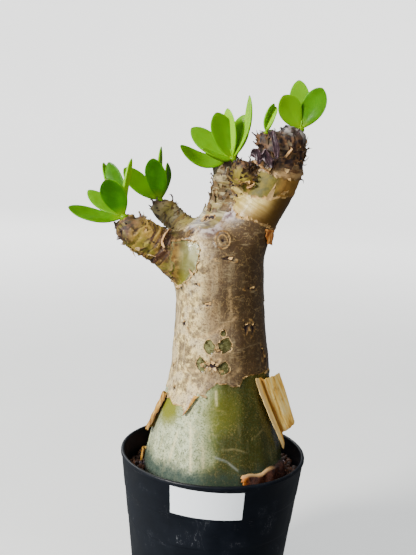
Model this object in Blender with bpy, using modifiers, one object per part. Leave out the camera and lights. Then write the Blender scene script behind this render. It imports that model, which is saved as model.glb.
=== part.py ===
"""Potted tylecodon: a swollen succulent stem with five leaf rosettes, in a black nursery pot.

Metres, +Z up. The origin is the centre of the pot's underside, and the viewer stands at -Y.
Angles round the trunk or the pot are in degrees from the front (-Y) towards +X.
"""

import math

import bmesh
import bpy
from mathutils import Matrix, Vector, noise
from mathutils.bvhtree import BVHTree

MM = 0.001

# Pot: a 9 cm round nursery pot with a thin tapered wall
POT_HEIGHT = 83.7
RIM_RADIUS = 45.0
RIM_BEAD_HEIGHT = 1.8
BEAD_STANDS_OUT = 0.5
POT_WALL = 1.3
POT_FLOOR = 1.6
BASE_RADIUS = 35.2
BASE_CHAMFER = 0.9
POT_SIDES = 44
STEP_HEIGHTS = (65.5, 50.5)
STEP_DEPTH = 0.25
DRAIN_HOLES = 8
DRAIN_HOLE_RADIUS = 3.2
DRAIN_CIRCLE_RADIUS = 23.0

# Soil: coarse granules, a little higher on the right of the stem
SOIL_LEVEL = 71.5
SOIL_RISE_RIGHT = 2.4
SOIL_TO_WALL = 0.35
SOIL_HOLE_GAP = 0.7
GRAIN = 3.1
GRAIN_RELIEF = 1.5
SOIL_RINGS = 5
SOIL_SIDES = 72

# Blank adhesive label on the pot's front
LABEL_FROM, LABEL_TO = -25.0, 19.2
LABEL_LOW, LABEL_HIGH = 67.4, 80.9
LABEL_TILT = 1.2
LABEL_THICKNESS = 0.6

# Trunk stations from the buried end up: centre x, centre y, height, radius
TRUNK = (
    (0.5, 0.0, 44.0, 11.0),
    (0.5, 0.0, 49.0, 20.0),
    (0.5, 0.0, 57.0, 27.5),
    (0.5, 0.0, 66.0, 32.4),
    (0.5, 0.0, 74.0, 34.2),
    (0.6, 0.0, 83.0, 33.4),
    (0.6, 0.0, 93.0, 31.0),
    (0.9, 0.0, 103.0, 28.5),
    (1.3, 0.0, 113.0, 26.0),
    (1.3, 0.0, 123.0, 24.1),
    (1.0, 0.0, 133.0, 22.9),
    (0.4, 0.0, 143.0, 22.1),
    (-0.2, 0.0, 154.0, 21.0),
    (-0.9, 0.0, 164.0, 21.0),
    (-2.2, 0.0, 173.0, 21.8),
    (-2.8, 0.3, 181.0, 21.6),
    (-2.0, 0.8, 189.0, 18.5),
    (-1.0, 1.0, 195.0, 11.0),
)

# Limbs, each as the trunk's stations
LIMBS = {
    "low_left": (
        (-6.0, -1.0, 177.0, 17.0),
        (-16.5, -4.5, 178.6, 13.0),
        (-25.0, -7.5, 182.0, 10.2),
        (-32.0, -9.5, 185.4, 9.0),
        (-38.0, -11.0, 188.8, 8.7),
        (-41.8, -11.8, 191.2, 8.2),
        (-44.6, -12.2, 193.6, 6.6),
        (-45.8, -12.4, 197.0, 3.4),
    ),
    "back_left": (
        (-8.0, 4.0, 182.0, 13.0),
        (-17.0, 8.5, 189.0, 7.6),
        (-23.5, 10.8, 194.0, 6.2),
        (-28.5, 12.2, 198.4, 5.9),
        (-31.4, 12.8, 201.2, 5.2),
        (-32.0, 12.8, 203.8, 2.8),
    ),
    "middle": (
        (-2.0, 3.0, 190.0, 13.5),
        (-0.5, 5.0, 199.0, 10.0),
        (0.2, 6.0, 206.0, 8.0),
        (0.2, 6.0, 213.0, 6.9),
        (0.3, 5.6, 219.5, 6.6),
        (0.8, 4.8, 222.6, 5.8),
        (1.4, 3.4, 225.6, 3.4),
    ),
    "right": (
        (4.0, 0.0, 184.0, 16.5),
        (9.5, -0.5, 193.0, 13.2),
        (13.6, -1.0, 200.0, 11.6),
        (17.0, -1.0, 206.5, 11.2),
        (20.4, -0.5, 213.0, 11.2),
        (23.2, 0.0, 220.0, 10.8),
        (24.1, 0.2, 227.0, 10.4),
        (24.2, 0.2, 233.0, 10.4),
        (24.4, 0.2, 237.6, 9.0),
    ),
    "knob": (
        (11.0, -0.5, 208.0, 6.0),
        (8.8, -3.6, 214.0, 6.0),
        (7.0, -5.6, 219.0, 5.8),
        (6.0, -6.2, 222.6, 4.8),
        (5.6, -6.2, 224.6, 2.8),
    ),
    "fork_left": (
        (21.0, -1.0, 231.0, 6.5),
        (18.0, -2.2, 234.6, 5.2),
        (16.6, -2.8, 236.8, 3.8),
        (16.4, -3.0, 238.4, 2.2),
    ),
    "fork_right": (
        (26.0, 0.5, 231.0, 7.5),
        (29.0, 1.2, 236.5, 6.0),
        (31.4, 1.3, 238.4, 5.0),
        (32.4, 1.2, 240.6, 2.8),
    ),
}

RELIEF_FROM = 75.5
SWELL_HEIGHT = 0.5
SWELL_SIZE = 14.0
STEM_VOXEL = 1.5
STEM_FINE = 0.123
SMOOTHING_ROUNDS = 5

# Wrinkles and leaf stubs on the young ends: where they start along the limb, wave height, stubs
YOUNG_ENDS = {
    "low_left": (20.0, 0.35, 9),
    "back_left": (12.0, 0.35, 7),
    "middle": (12.0, 0.40, 9),
    "right": (46.0, 0.30, 8),
    "knob": (7.0, 0.20, 7),
}
WAVE_LENGTH = 3.6
STUB_RADIUS = 2.8
STUB_HEIGHT = 1.0
GOLDEN_ANGLE = math.radians(137.5)

# Old leaf scars on the trunk: angle, height, radius, how far the lip stands out
SCARS = (
    (10.0, 189.5, 3.2, 0.6),
    (-30.0, 192.0, 2.6, 0.5),
    (-13.0, 141.0, 2.6, 0.4),
    (3.0, 143.0, 3.2, 0.4),
    (-19.0, 133.5, 3.4, 0.5),
    (1.0, 131.5, 3.6, 0.5),
    (46.0, 149.5, 2.4, 0.4),
    (118.0, 158.0, 3.2, 0.5),
    (150.0, 127.0, 3.6, 0.5),
    (-118.0, 139.0, 3.4, 0.5),
    (-150.0, 171.0, 3.0, 0.5),
    (178.0, 188.0, 3.2, 0.5),
)

# Dried points on the young ends: start, middle bend and tip
WISPS = (
    ((14.6, -3.0, 235.6), (12.0, -4.0, 236.4), (9.6, -4.4, 238.0)),
    ((14.4, -3.4, 232.8), (12.2, -4.6, 232.8), (10.4, -5.2, 234.0)),
    ((33.8, 0.0, 231.0), (35.2, -0.6, 230.6), (35.8, -1.0, 229.4)),
    ((33.0, 0.6, 221.6), (34.8, 0.2, 221.0), (35.2, 0.0, 219.4)),
    ((-39.0, -10.0, 196.0), (-39.0, -10.2, 198.4), (-39.8, -10.6, 200.0)),
    ((-46.6, -12.4, 188.4), (-48.6, -12.6, 187.2), (-49.2, -12.8, 185.6)),
    ((-26.4, 11.6, 201.8), (-25.6, 11.4, 204.0), (-26.0, 11.2, 206.2)),
    ((-35.2, 12.2, 198.8), (-37.0, 12.0, 199.2), (-38.0, 11.6, 198.4)),
    ((10.6, -6.6, 223.4), (12.0, -6.6, 225.4), (11.8, -6.8, 227.2)),
)
WISP_RADIUS = 0.85

# Rosettes: bud centre, bud radius, then each leaf's tip, width, facing, backward bend and thickness
ROSETTES = {
    "rosette_low_left": (
        (-46.2, -12.5, 196.9),
        2.4,
        (
            ((-70.6, -19.0, 201.0), 9.4, (0.25, -0.50, 0.83), 2.6, 1.9),
            ((-64.7, 0.0, 207.5), 8.0, (0.45, -0.80, 0.40), 1.6, 1.8),
            ((-54.3, -17.5, 214.0), 11.6, (-0.28, -0.95, 0.10), 1.4, 2.0),
            ((-54.9, -5.0, 221.2), 8.8, (-0.35, -0.93, 0.05), 1.2, 1.9),
            ((-58.0, 1.0, 220.6), 7.6, (0.85, -0.50, 0.20), 1.0, 1.8),
            ((-43.9, -9.5, 223.6), 7.0, (0.98, -0.18, 0.05), 1.4, 1.9),
            ((-51.3, 4.0, 209.8), 8.4, (-0.10, 0.80, 0.60), 1.4, 1.9),
        ),
    ),
    "rosette_back_left": (
        (-31.8, 12.8, 203.2),
        2.1,
        (
            ((-49.6, 12.0, 217.9), 9.4, (0.30, -0.85, 0.42), 1.8, 1.9),
            ((-35.3, 4.0, 223.6), 10.4, (-0.25, -0.96, 0.10), 1.0, 2.0),
            ((-32.9, 24.0, 228.8), 5.4, (0.95, -0.20, 0.05), 0.8, 1.8),
            ((-29.0, 14.5, 221.5), 6.8, (0.95, -0.30, 0.10), -1.2, 1.9),
            ((-34.2, 27.0, 216.1), 8.8, (0.10, 0.80, 0.60), 1.6, 1.9),
        ),
    ),
    "rosette_middle": (
        (1.8, 3.0, 225.0),
        2.6,
        (
            ((-22.5, -6.0, 230.1), 10.4, (0.25, -0.60, 0.76), 5.4, 2.0),
            ((-18.3, 9.0, 238.4), 9.8, (0.25, -0.94, 0.22), 2.4, 1.9),
            ((-7.0, -1.0, 246.0), 10.6, (0.30, -0.93, 0.20), 1.2, 2.0),
            ((-12.0, -11.0, 229.2), 8.2, (0.05, -0.50, 0.86), 1.4, 1.8),
            ((-1.8, 2.0, 248.3), 8.4, (0.80, -0.60, 0.02), 0.8, 1.8),
            ((6.4, 10.0, 245.9), 8.8, (-0.35, -0.93, 0.05), 1.0, 1.8),
            ((7.9, 0.0, 254.6), 9.4, (-0.97, -0.22, 0.05), 3.2, 1.9),
            ((2.9, 22.0, 242.4), 9.6, (0.05, 0.80, 0.60), 2.0, 2.0),
            ((-7.5, 20.0, 238.0), 9.0, (-0.45, 0.65, 0.60), 1.8, 1.9),
        ),
    ),
    "rosette_fork_left": (
        (16.3, -3.2, 238.0),
        1.5,
        (
            ((19.0, -4.6, 251.3), 6.6, (0.84, -0.55, 0.05), 1.4, 1.7),
            ((20.1, -2.4, 250.0), 6.2, (-0.72, -0.70, 0.05), -0.8, 1.7),
        ),
    ),
    "rosette_fork_right": (
        (32.4, 1.2, 240.2),
        2.2,
        (
            ((22.8, -4.0, 255.0), 11.0, (0.22, -0.96, 0.16), 1.2, 1.9),
            ((30.7, 8.0, 262.9), 9.2, (-0.06, -0.98, 0.16), 0.8, 1.8),
            ((40.5, -2.4, 259.4), 10.8, (-0.32, -0.93, 0.16), 2.0, 2.1),
            ((38.1, 15.0, 253.3), 8.6, (0.45, 0.78, 0.40), 1.4, 1.8),
            ((27.0, 15.0, 252.4), 8.4, (-0.50, 0.75, 0.40), 1.4, 1.8),
        ),
    ),
}
LEAF_SIDES = 10
LEAF_RINGS = 8
SOCKET_GAP = 0.35

# Peeling bark: every sheet stands this far off the stem where it is closest
BARK_THICKNESS = 0.7
BARK_GAP = 0.8


def remove_startup_objects():
    for old in list(bpy.data.objects):
        bpy.data.objects.remove(old)


def new_collection(name):
    made = bpy.data.collections.new(name)
    bpy.context.scene.collection.children.link(made)
    return made


def finish(name, colour, roughness):
    """A plain Principled material with the part's own colour."""
    material = bpy.data.materials.new(name)
    material.use_nodes = True
    shader = material.node_tree.nodes["Principled BSDF"]
    shader.inputs["Base Color"].default_value = (*colour, 1.0)
    shader.inputs["Roughness"].default_value = roughness
    shader.inputs["Metallic"].default_value = 0.0
    return material


def add_object(name, mesh, collection, material=None):
    made = bpy.data.objects.new(name, mesh)
    collection.objects.link(made)
    if material:
        mesh.materials.clear()
        mesh.materials.append(material)
    return made


def mesh_of(name, shape):
    mesh = bpy.data.meshes.new(name)
    shape.to_mesh(mesh)
    shape.free()
    return mesh


def evaluated_mesh(thing):
    """The object's mesh as its modifiers leave it, welded, with the object's place kept in it."""
    bpy.context.view_layer.update()
    graph = bpy.context.evaluated_depsgraph_get()
    mesh = bpy.data.meshes.new_from_object(thing.evaluated_get(graph))
    shape = bmesh.new()
    shape.from_mesh(mesh)
    bmesh.ops.remove_doubles(shape, verts=shape.verts, dist=0.001 * MM)
    shape.to_mesh(mesh)
    shape.free()
    return mesh


def apply_modifiers(thing):
    mesh = evaluated_mesh(thing)
    thing.modifiers.clear()
    thing.data = mesh


def shade(thing, angle=40.0):
    thing.data.shade_smooth()
    thing.data.set_sharp_from_angle(angle=math.radians(angle))


def turned(name, profile, sides, collection, material):
    """A body turned from (radius, height) points, listed so that they run down its outer side."""
    mesh = bpy.data.meshes.new(name)
    points = [(radius * MM, 0.0, height * MM) for radius, height in profile]
    mesh.from_pydata(points, [(i, i + 1) for i in range(len(points) - 1)], [])
    body = add_object(name, mesh, collection, material)
    screw = body.modifiers.new("Turn", "SCREW")
    screw.steps = sides
    screw.render_steps = sides
    screw.use_merge_vertices = True
    screw.merge_threshold = 0.00001
    apply_modifiers(body)
    return body


def union(name, pieces, collection, material, solver="EXACT"):
    """One solid of several overlapping ones."""
    first = pieces[0]
    group = bpy.data.collections.new(name + "_pieces")
    bpy.context.scene.collection.children.link(group)
    for piece in pieces[1:]:
        group.objects.link(piece)
    join = first.modifiers.new("Join", "BOOLEAN")
    join.operation = "UNION"
    join.operand_type = "COLLECTION"
    join.collection = group
    join.solver = solver
    mesh = evaluated_mesh(first)
    for piece in pieces:
        bpy.data.objects.remove(piece)
    bpy.data.collections.remove(group)
    return add_object(name, mesh, collection, material)


def cut(thing, cutters, solver="EXACT"):
    for cutter in cutters:
        cutter.hide_render = True
        cutter.display_type = "WIRE"
        step = thing.modifiers.new("Cut", "BOOLEAN")
        step.operation = "DIFFERENCE"
        step.object = cutter
        step.solver = solver
    apply_modifiers(thing)


def reading(stations, place):
    """The stations' values at a given height, read in straight lines between them."""
    for low, high in zip(stations, stations[1:]):
        if place <= high[2]:
            share = max(0.0, (place - low[2]) / (high[2] - low[2]))
            return [a + (b - a) * share for a, b in zip(low, high)]
    return list(stations[-1])


def on_trunk(angle, height, out=0.0):
    """A point this far out from the trunk's surface."""
    x, y, _, radius = reading(TRUNK, height)
    turn = math.radians(angle)
    reach = radius + out
    return Vector((x + reach * math.sin(turn), y - reach * math.cos(turn), height))


def pot_radius(height):
    """The outer radius of the pot's tapered wall."""
    share = height / (POT_HEIGHT - RIM_BEAD_HEIGHT)
    top = RIM_RADIUS - BEAD_STANDS_OUT
    return BASE_RADIUS + (top - BASE_RADIUS) * share


def make_pot(parts, cutters):
    """A thin-walled tapered pot with a rim bead, two shallow steps and drain holes."""
    below_bead = POT_HEIGHT - RIM_BEAD_HEIGHT
    inner_top = pot_radius(POT_HEIGHT) - POT_WALL
    inner_foot = pot_radius(POT_FLOOR) - POT_WALL
    profile = [(0.0, POT_FLOOR), (inner_foot - 1.5, POT_FLOOR), (inner_foot, POT_FLOOR + 1.5)]
    profile += [(inner_top, POT_HEIGHT - 0.5), (inner_top + 0.5, POT_HEIGHT)]
    profile += [(RIM_RADIUS - 0.5, POT_HEIGHT), (RIM_RADIUS, POT_HEIGHT - 0.5)]
    profile += [(RIM_RADIUS, below_bead + 0.4), (pot_radius(below_bead), below_bead)]
    drop = 0.0
    for step in STEP_HEIGHTS:
        profile.append((pot_radius(step + 1.0) - drop, step + 1.0))
        drop += STEP_DEPTH
        profile.append((pot_radius(step) - drop, step))
    profile += [(BASE_RADIUS - drop, BASE_CHAMFER), (BASE_RADIUS - drop - BASE_CHAMFER, 0.0)]
    profile.append((0.0, 0.0))
    black = finish("black_plastic", (0.012, 0.014, 0.018), 0.42)
    pot = turned("pot", profile, POT_SIDES, parts, black)
    drills = []
    for index in range(DRAIN_HOLES):
        turn = math.tau * index / DRAIN_HOLES
        drill = bmesh.new()
        place = Vector((math.cos(turn), math.sin(turn), 0.0)) * DRAIN_CIRCLE_RADIUS * MM
        bmesh.ops.create_cone(
            drill,
            cap_ends=True,
            segments=16,
            radius1=DRAIN_HOLE_RADIUS * MM,
            radius2=DRAIN_HOLE_RADIUS * MM,
            depth=6.0 * POT_FLOOR * MM,
            matrix=Matrix.Translation(place),
        )
        drills.append(add_object("drain_hole_cutter", mesh_of("drain_hole", drill), cutters))
    cut(pot, drills)
    shade(pot, 25.0)
    return pot


def soil_height(x, y):
    """The top of the soil at a point, with the relief of its granules."""
    spots, _ = noise.voronoi(Vector((x, y, 0.0)) / GRAIN, distance_metric="DISTANCE", exponent=2.5)
    grain = GRAIN_RELIEF * (0.75 - min(spots[0], 0.9))
    swell = 0.8 * noise.noise(Vector((x, y, 4.0)) / 11.0)
    return SOIL_LEVEL + SOIL_RISE_RIGHT * (0.5 + 0.5 * x / RIM_RADIUS) + grain + swell


def make_soil(parts):
    """The soil fills the pot and has a plain hole for the stem's buried end."""
    hole = [(radius + SOIL_HOLE_GAP, height) for _, _, height, radius in TRUNK if height < SOIL_LEVEL]
    inner = reading(TRUNK, SOIL_LEVEL)[3] + SOIL_HOLE_GAP
    outer = pot_radius(SOIL_LEVEL) - POT_WALL - SOIL_TO_WALL
    foot = pot_radius(POT_FLOOR) - POT_WALL - SOIL_TO_WALL
    base = POT_FLOOR + SOIL_TO_WALL
    profile = [(0.0, hole[0][1] - SOIL_HOLE_GAP)] + hole
    for ring in range(SOIL_RINGS + 1):
        share = ring / SOIL_RINGS
        profile.append((inner + (outer - inner) * share, SOIL_LEVEL))
    profile += [(foot, base + 1.7), (foot - 1.7, base), (0.0, base)]
    brown = finish("potting_grit", (0.075, 0.036, 0.021), 0.95)
    soil = turned("soil", profile, SOIL_SIDES, parts, brown)
    centre_x = TRUNK[0][0]
    for vertex in soil.data.vertices:
        x, y, z = vertex.co / MM
        radius = math.hypot(x, y)
        nearness = max(0.0, min(1.0, (outer - radius) / (outer - inner)))
        if z > base + 2.0:
            x += centre_x * nearness
        if abs(z - SOIL_LEVEL) < 0.01:
            z = soil_height(x, y)
        vertex.co = Vector((x, y, z)) * MM
    shade(soil, 60.0)
    return soil


def tube(name, stations, collection):
    """A round limb through its stations, made from a curve with a radius at each point."""
    curve = bpy.data.curves.new(name, "CURVE")
    curve.dimensions = "3D"
    curve.bevel_depth = MM
    curve.bevel_resolution = 6
    curve.use_fill_caps = True
    curve.resolution_u = 5
    spline = curve.splines.new("BEZIER")
    spline.radius_interpolation = "CARDINAL"
    spline.bezier_points.add(len(stations) - 1)
    for point, (x, y, z, radius) in zip(spline.bezier_points, stations):
        point.co = Vector((x, y, z)) * MM
        point.radius = radius
        point.handle_left_type = "AUTO"
        point.handle_right_type = "AUTO"
    guide = bpy.data.objects.new(name + "_guide", curve)
    collection.objects.link(guide)
    limb = add_object(name, evaluated_mesh(guide), collection)
    bpy.data.objects.remove(guide)
    return limb


def along(stations, point):
    """How far along a limb a point lies, its side direction and its distance in radii."""
    best = None
    start = 0.0
    for low, high in zip(stations, stations[1:]):
        a, b = Vector(low[:3]), Vector(high[:3])
        reach = (b - a).length
        share = max(0.0, min(1.0, (point - a).dot(b - a) / reach**2))
        foot = a.lerp(b, share)
        radius = low[3] + (high[3] - low[3]) * share
        away = (point - foot).length / radius
        if best is None or away < best[0]:
            best = (away, start + share * reach, point - foot, (b - a).normalized())
        start += reach
    return best


def length_of(stations):
    return sum((Vector(b[:3]) - Vector(a[:3])).length for a, b in zip(stations, stations[1:]))


def young_relief(point):
    """Wrinkles and leaf stubs on the young ends, as a height over the smooth limb."""
    name, found = min(
        ((name, along(stations, point)) for name, stations in LIMBS.items()),
        key=lambda pair: pair[1][0],
    )
    if name not in YOUNG_ENDS:
        return 0.0
    start, wave, stubs = YOUNG_ENDS[name]
    _, place, side, axis = found
    grown = max(0.0, min(1.0, (place - start) / 8.0))
    wander = 1.6 * noise.noise(point / 5.0)
    height = wave * math.sin(math.tau * (place + wander) / WAVE_LENGTH)
    across = axis.cross(Vector((0.0, 1.0, 0.2))).normalized()
    turn = math.atan2(side.dot(axis.cross(across)), side.dot(across))
    length = length_of(LIMBS[name])
    for index in range(stubs):
        at = start + (length - start) * (index + 0.5) / stubs
        lag = (turn - index * GOLDEN_ANGLE + math.pi) % math.tau - math.pi
        gap = math.hypot(place - at, lag * side.length)
        if gap < STUB_RADIUS:
            height += STUB_HEIGHT * math.cos(0.5 * math.pi * gap / STUB_RADIUS) ** 2
    return grown * height


def scar_relief(point):
    """Raised lips round the old leaf scars, with a dip in the middle of each."""
    height = 0.0
    for angle, level, radius, lip in SCARS:
        gap = (point - on_trunk(angle, level)).length / radius
        if gap < 1.8:
            height += lip * (math.exp(-((gap - 0.9) ** 2) / 0.12) - 0.6 * math.exp(-gap * gap / 0.1))
    return height


def make_stem(parts, cutters, buds):
    """Trunk and limbs grown together, with wrinkles, leaf stubs, scars and dried points."""
    bark = finish("bark", (0.33, 0.25, 0.16), 0.5)
    limbs = [tube("trunk", TRUNK, parts)]
    limbs += [tube(name, stations, parts) for name, stations in LIMBS.items()]
    stem = union("stem", limbs, parts, bark)
    fuse = stem.modifiers.new("Fuse", "REMESH")
    fuse.mode = "VOXEL"
    fuse.voxel_size = STEM_VOXEL * MM
    soften = stem.modifiers.new("Soften", "SMOOTH")
    soften.factor = 0.5
    soften.iterations = SMOOTHING_ROUNDS
    apply_modifiers(stem)
    normals = [vertex.normal.copy() for vertex in stem.data.vertices]
    for vertex, normal in zip(stem.data.vertices, normals):
        point = vertex.co / MM
        if point.z < RELIEF_FROM:
            continue
        swell = SWELL_HEIGHT * noise.noise(point / SWELL_SIZE)
        swell *= min(1.0, (point.z - RELIEF_FROM) / SWELL_SIZE)
        height = swell + young_relief(point) + scar_relief(point)
        vertex.co += normal * height * MM
    thin = stem.modifiers.new("Thin out", "DECIMATE")
    thin.ratio = STEM_FINE
    apply_modifiers(stem)
    spikes = [wisp(points, parts) for points in WISPS]
    stem = union("stem", [stem] + spikes, parts, bark)
    cut(stem, [head("leaf_socket", *bud, SOCKET_GAP, cutters) for bud in buds])
    shade(stem, 50.0)
    return stem


def wisp(points, collection):
    """A dried leaf base: a short bent point whose root is sunk in the stem."""
    start, bend, tip = (Vector(point) for point in points)
    root = start + (start - bend) * 0.9
    curve = bpy.data.curves.new("wisp", "CURVE")
    curve.dimensions = "3D"
    curve.bevel_depth = MM
    curve.bevel_resolution = 1
    curve.use_fill_caps = True
    spline = curve.splines.new("POLY")
    spline.points.add(3)
    radii = (1.9 * WISP_RADIUS, 1.3 * WISP_RADIUS, 0.8 * WISP_RADIUS, 0.4 * WISP_RADIUS)
    for point, place, radius in zip(spline.points, (root, start, bend, tip), radii):
        point.co = (*(place * MM), 1.0)
        point.radius = radius
    guide = bpy.data.objects.new("wisp_guide", curve)
    collection.objects.link(guide)
    made = add_object("wisp", evaluated_mesh(guide), collection)
    bpy.data.objects.remove(guide)
    return made


def leaf_base(centre, bud_radius, tip):
    """A leaf starts inside its bud, a little towards its own tip."""
    out = (Vector(tip) - Vector(centre)).normalized()
    return Vector(centre) + out * 0.2 * bud_radius


def leaf(base, tip, width, facing, bend, thickness):
    """A fleshy spoon-shaped leaf: a sphere drawn out along the leaf and pressed flat."""
    base, tip = Vector(base), Vector(tip)
    axis = (tip - base).normalized()
    length = (tip - base).length
    face = Vector(facing)
    face = (face - axis * face.dot(axis)).normalized()
    across = face.cross(axis)
    shape = bmesh.new()
    bmesh.ops.create_uvsphere(shape, u_segments=LEAF_SIDES, v_segments=LEAF_RINGS, radius=1.0)
    for vertex in shape.verts:
        x, y, z = vertex.co
        share = 0.5 + 0.5 * z
        belt = math.sqrt(max(0.0, 1.0 - z * z))
        ring = belt or 1.0
        spread = 0.5 * width * belt**0.9 * (0.45 + 0.62 * share) / 0.80
        depth = 0.5 * thickness * belt**0.6 * (1.25 - 0.45 * share)
        side = spread * x / ring
        rise = depth * math.copysign(abs(y / ring) ** 0.75, y)
        cup = 0.09 * width * (2.0 * side / width) ** 2
        arch = bend * 4.0 * share * (1.0 - share)
        vertex.co = (base + axis * share * length + across * side + face * (rise + cup - arch)) * MM
    bmesh.ops.recalc_face_normals(shape, faces=shape.faces)
    return bpy.data.objects.new("leaf", mesh_of("leaf", shape))


def head(name, centre, bud_radius, leaves, grow, collection, material=None):
    """A bud with its leaves sunk in it, every surface moved outwards by grow."""
    ball = bmesh.new()
    bmesh.ops.create_uvsphere(
        ball,
        u_segments=10,
        v_segments=7,
        radius=(bud_radius + grow) * MM,
        matrix=Matrix.Translation(Vector(centre) * MM),
    )
    pieces = [bpy.data.objects.new("bud", mesh_of("bud", ball))]
    collection.objects.link(pieces[0])
    for tip, width, facing, bend, thickness in leaves:
        base = leaf_base(centre, bud_radius, tip)
        wide, thick = width + 2.0 * grow, thickness + 2.0 * grow
        pieces.append(leaf(base, tip, wide, facing, bend, thick))
    return union(name, pieces, collection, material)


def clear_of(tree, point):
    """The point itself, or the nearest one that stands BARK_GAP off the stem."""
    foot, normal, _, _ = tree.find_nearest(point * MM)
    foot /= MM
    if (point - foot).dot(normal) < BARK_GAP:
        return foot + normal * BARK_GAP
    return point


def sheet(name, place, columns, rows, parts, material, tree=None):
    """A thin sheet whose middle surface place(u, v) gives, with u across and v down."""
    grid = bmesh.new()
    bmesh.ops.create_grid(grid, x_segments=columns, y_segments=rows, size=1.0)
    for vertex in grid.verts:
        u, v = 0.5 + 0.5 * vertex.co.x, 0.5 - 0.5 * vertex.co.y
        point = place(u, v)
        if tree:
            point = clear_of(tree, point)
        vertex.co = point * MM
    made = add_object(name, mesh_of(name, grid), parts, material)
    wall = made.modifiers.new("Thickness", "SOLIDIFY")
    wall.thickness = BARK_THICKNESS * MM
    wall.offset = 0.0
    apply_modifiers(made)
    shade(made, 50.0)
    return made


def blend(a, b, share):
    return a + (b - a) * share


def big_flap(u, v):
    """The large papery flap at the right: free left edge, ridge, and a fold back to the trunk."""
    turn = 0.72
    share = u / turn if u < turn else (u - turn) / (1.0 - turn)
    if u < turn:
        notch = min(1.0, share / 0.2) * min(1.0, (1.0 - share) / 0.8)
        v -= 0.11 * v**3 * notch
    left = on_trunk(blend(38.0, 76.0, v**1.15), blend(127.0, 88.5, v), BARK_GAP + 1.3)
    ridge = Vector((blend(29.4, 39.4, v), blend(-3.0, -1.0, v), blend(125.6, 99.8, v)))
    fixed = on_trunk(blend(104.0, 112.0, v), blend(119.0, 101.0, v), BARK_GAP)
    if u < turn:
        bulge = 2.2 * math.sin(math.pi * share) * (1.0 - 0.5 * v)
        point = left.lerp(ridge, share)
        point.y -= bulge - 1.5 * math.exp(-((share - 0.2) ** 2) / 0.01)
        return point
    point = ridge.lerp(fixed, share)
    point.x += 1.2 * math.sin(math.pi * share)
    return point


def left_curl(u, v):
    """A long narrow curl down the trunk's left side."""
    angle = blend(-66.0, -80.0, v) - 7.0 * u
    off = BARK_GAP + 1.0 * math.sin(math.pi * u) + 0.7 * v * (1.0 - u)
    return on_trunk(angle, blend(115.0, 93.4, v), off)


def low_curl(u, v):
    return on_trunk(-86.0 - 6.0 * u, blend(83.0, 76.2, v), BARK_GAP + 1.0 * math.sin(math.pi * u))


def front_tongue(u, v):
    """The pointed tongue of bark that hangs at the front of the bark's edge."""
    half = blend(7.0, 1.2, v)
    angle = blend(-28.0, -34.5, v) + half * (2.0 * u - 1.0)
    return on_trunk(angle, blend(118.5, 109.0, v), BARK_GAP + 0.9 * u * u + 0.3 * v)


def upper_flap(u, v):
    """The small orange flap at the right, just outside the thick limb."""
    near = Vector((18.0, -11.6, 195.3)).lerp(Vector((19.6, -9.0, 187.6)), v)
    far = Vector((22.8, -5.0, 194.8)).lerp(Vector((22.4, -4.4, 186.4)), v)
    point = near.lerp(far, u)
    point.x += 0.8 * math.sin(math.pi * u)
    return point


def hanging_leaf(u, v):
    """A dried leaf that hangs from the thick limb's end, its tip hooked to the left."""
    line = (
        Vector((17.6, -8.0, 239.2)),
        Vector((18.6, -12.2, 238.4)),
        Vector((19.8, -13.4, 234.0)),
        Vector((21.0, -13.2, 230.2)),
        Vector((21.0, -13.4, 227.6)),
        Vector((19.0, -13.2, 226.8)),
    )
    return across_line(line, u, v, 2.6, Vector((1.0, -0.1, 0.2)), 0.5)


def crumpled_leaf(u, v):
    """A dried leaf crumpled up against the thick limb, below the hanging one."""
    line = (
        Vector((9.4, -11.6, 228.4)),
        Vector((11.6, -12.6, 229.2)),
        Vector((13.4, -13.6, 226.6)),
        Vector((15.6, -14.0, 228.4)),
        Vector((17.8, -14.4, 225.8)),
        Vector((19.6, -14.2, 224.4)),
    )
    return across_line(line, u, v, 3.0, Vector((0.2, -0.35, 1.0)), 0.6)


def across_line(line, u, v, width, side, curl):
    """A strip along a line of points, v along it and u across it, with its edges curled up."""
    place = min(v, 0.9999) * (len(line) - 1)
    index = int(place)
    before = line[max(0, index - 1)]
    after = line[min(len(line) - 1, index + 2)]
    middle = line[index]
    share = place - index
    start_way = (line[index + 1] - before) * 0.5
    end_way = (after - middle) * 0.5
    point = smooth_point(middle, start_way, end_way, line[index + 1], share)
    half = 0.5 * width * (0.35 + 0.65 * math.sin(math.pi * min(1.0, 0.15 + 0.8 * v)))
    lean = 2.0 * u - 1.0
    lift = Vector((0.0, -1.0, 0.0)) * curl * lean * lean
    return point + side.normalized() * half * lean + lift


def smooth_point(start, start_way, end_way, end, share):
    """A point on the smooth curve between two points, with the direction given at each."""
    square, cube = share**2, share**3
    at_start = 2.0 * cube - 3.0 * square + 1.0
    at_end = 3.0 * square - 2.0 * cube
    return (
        start * at_start
        + start_way * (cube - 2.0 * square + share)
        + end * at_end
        + end_way * (cube - square)
    )


def soil_scrap(u, v):
    """A torn strip of old bark lying on the soil against the trunk's right front."""
    angle = blend(20.0, 74.0, u)
    height = blend(78.4, 80.6, u) + 4.4 * (1.0 - v)
    return on_trunk(angle, height, BARK_GAP + 2.8 * v)


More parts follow.
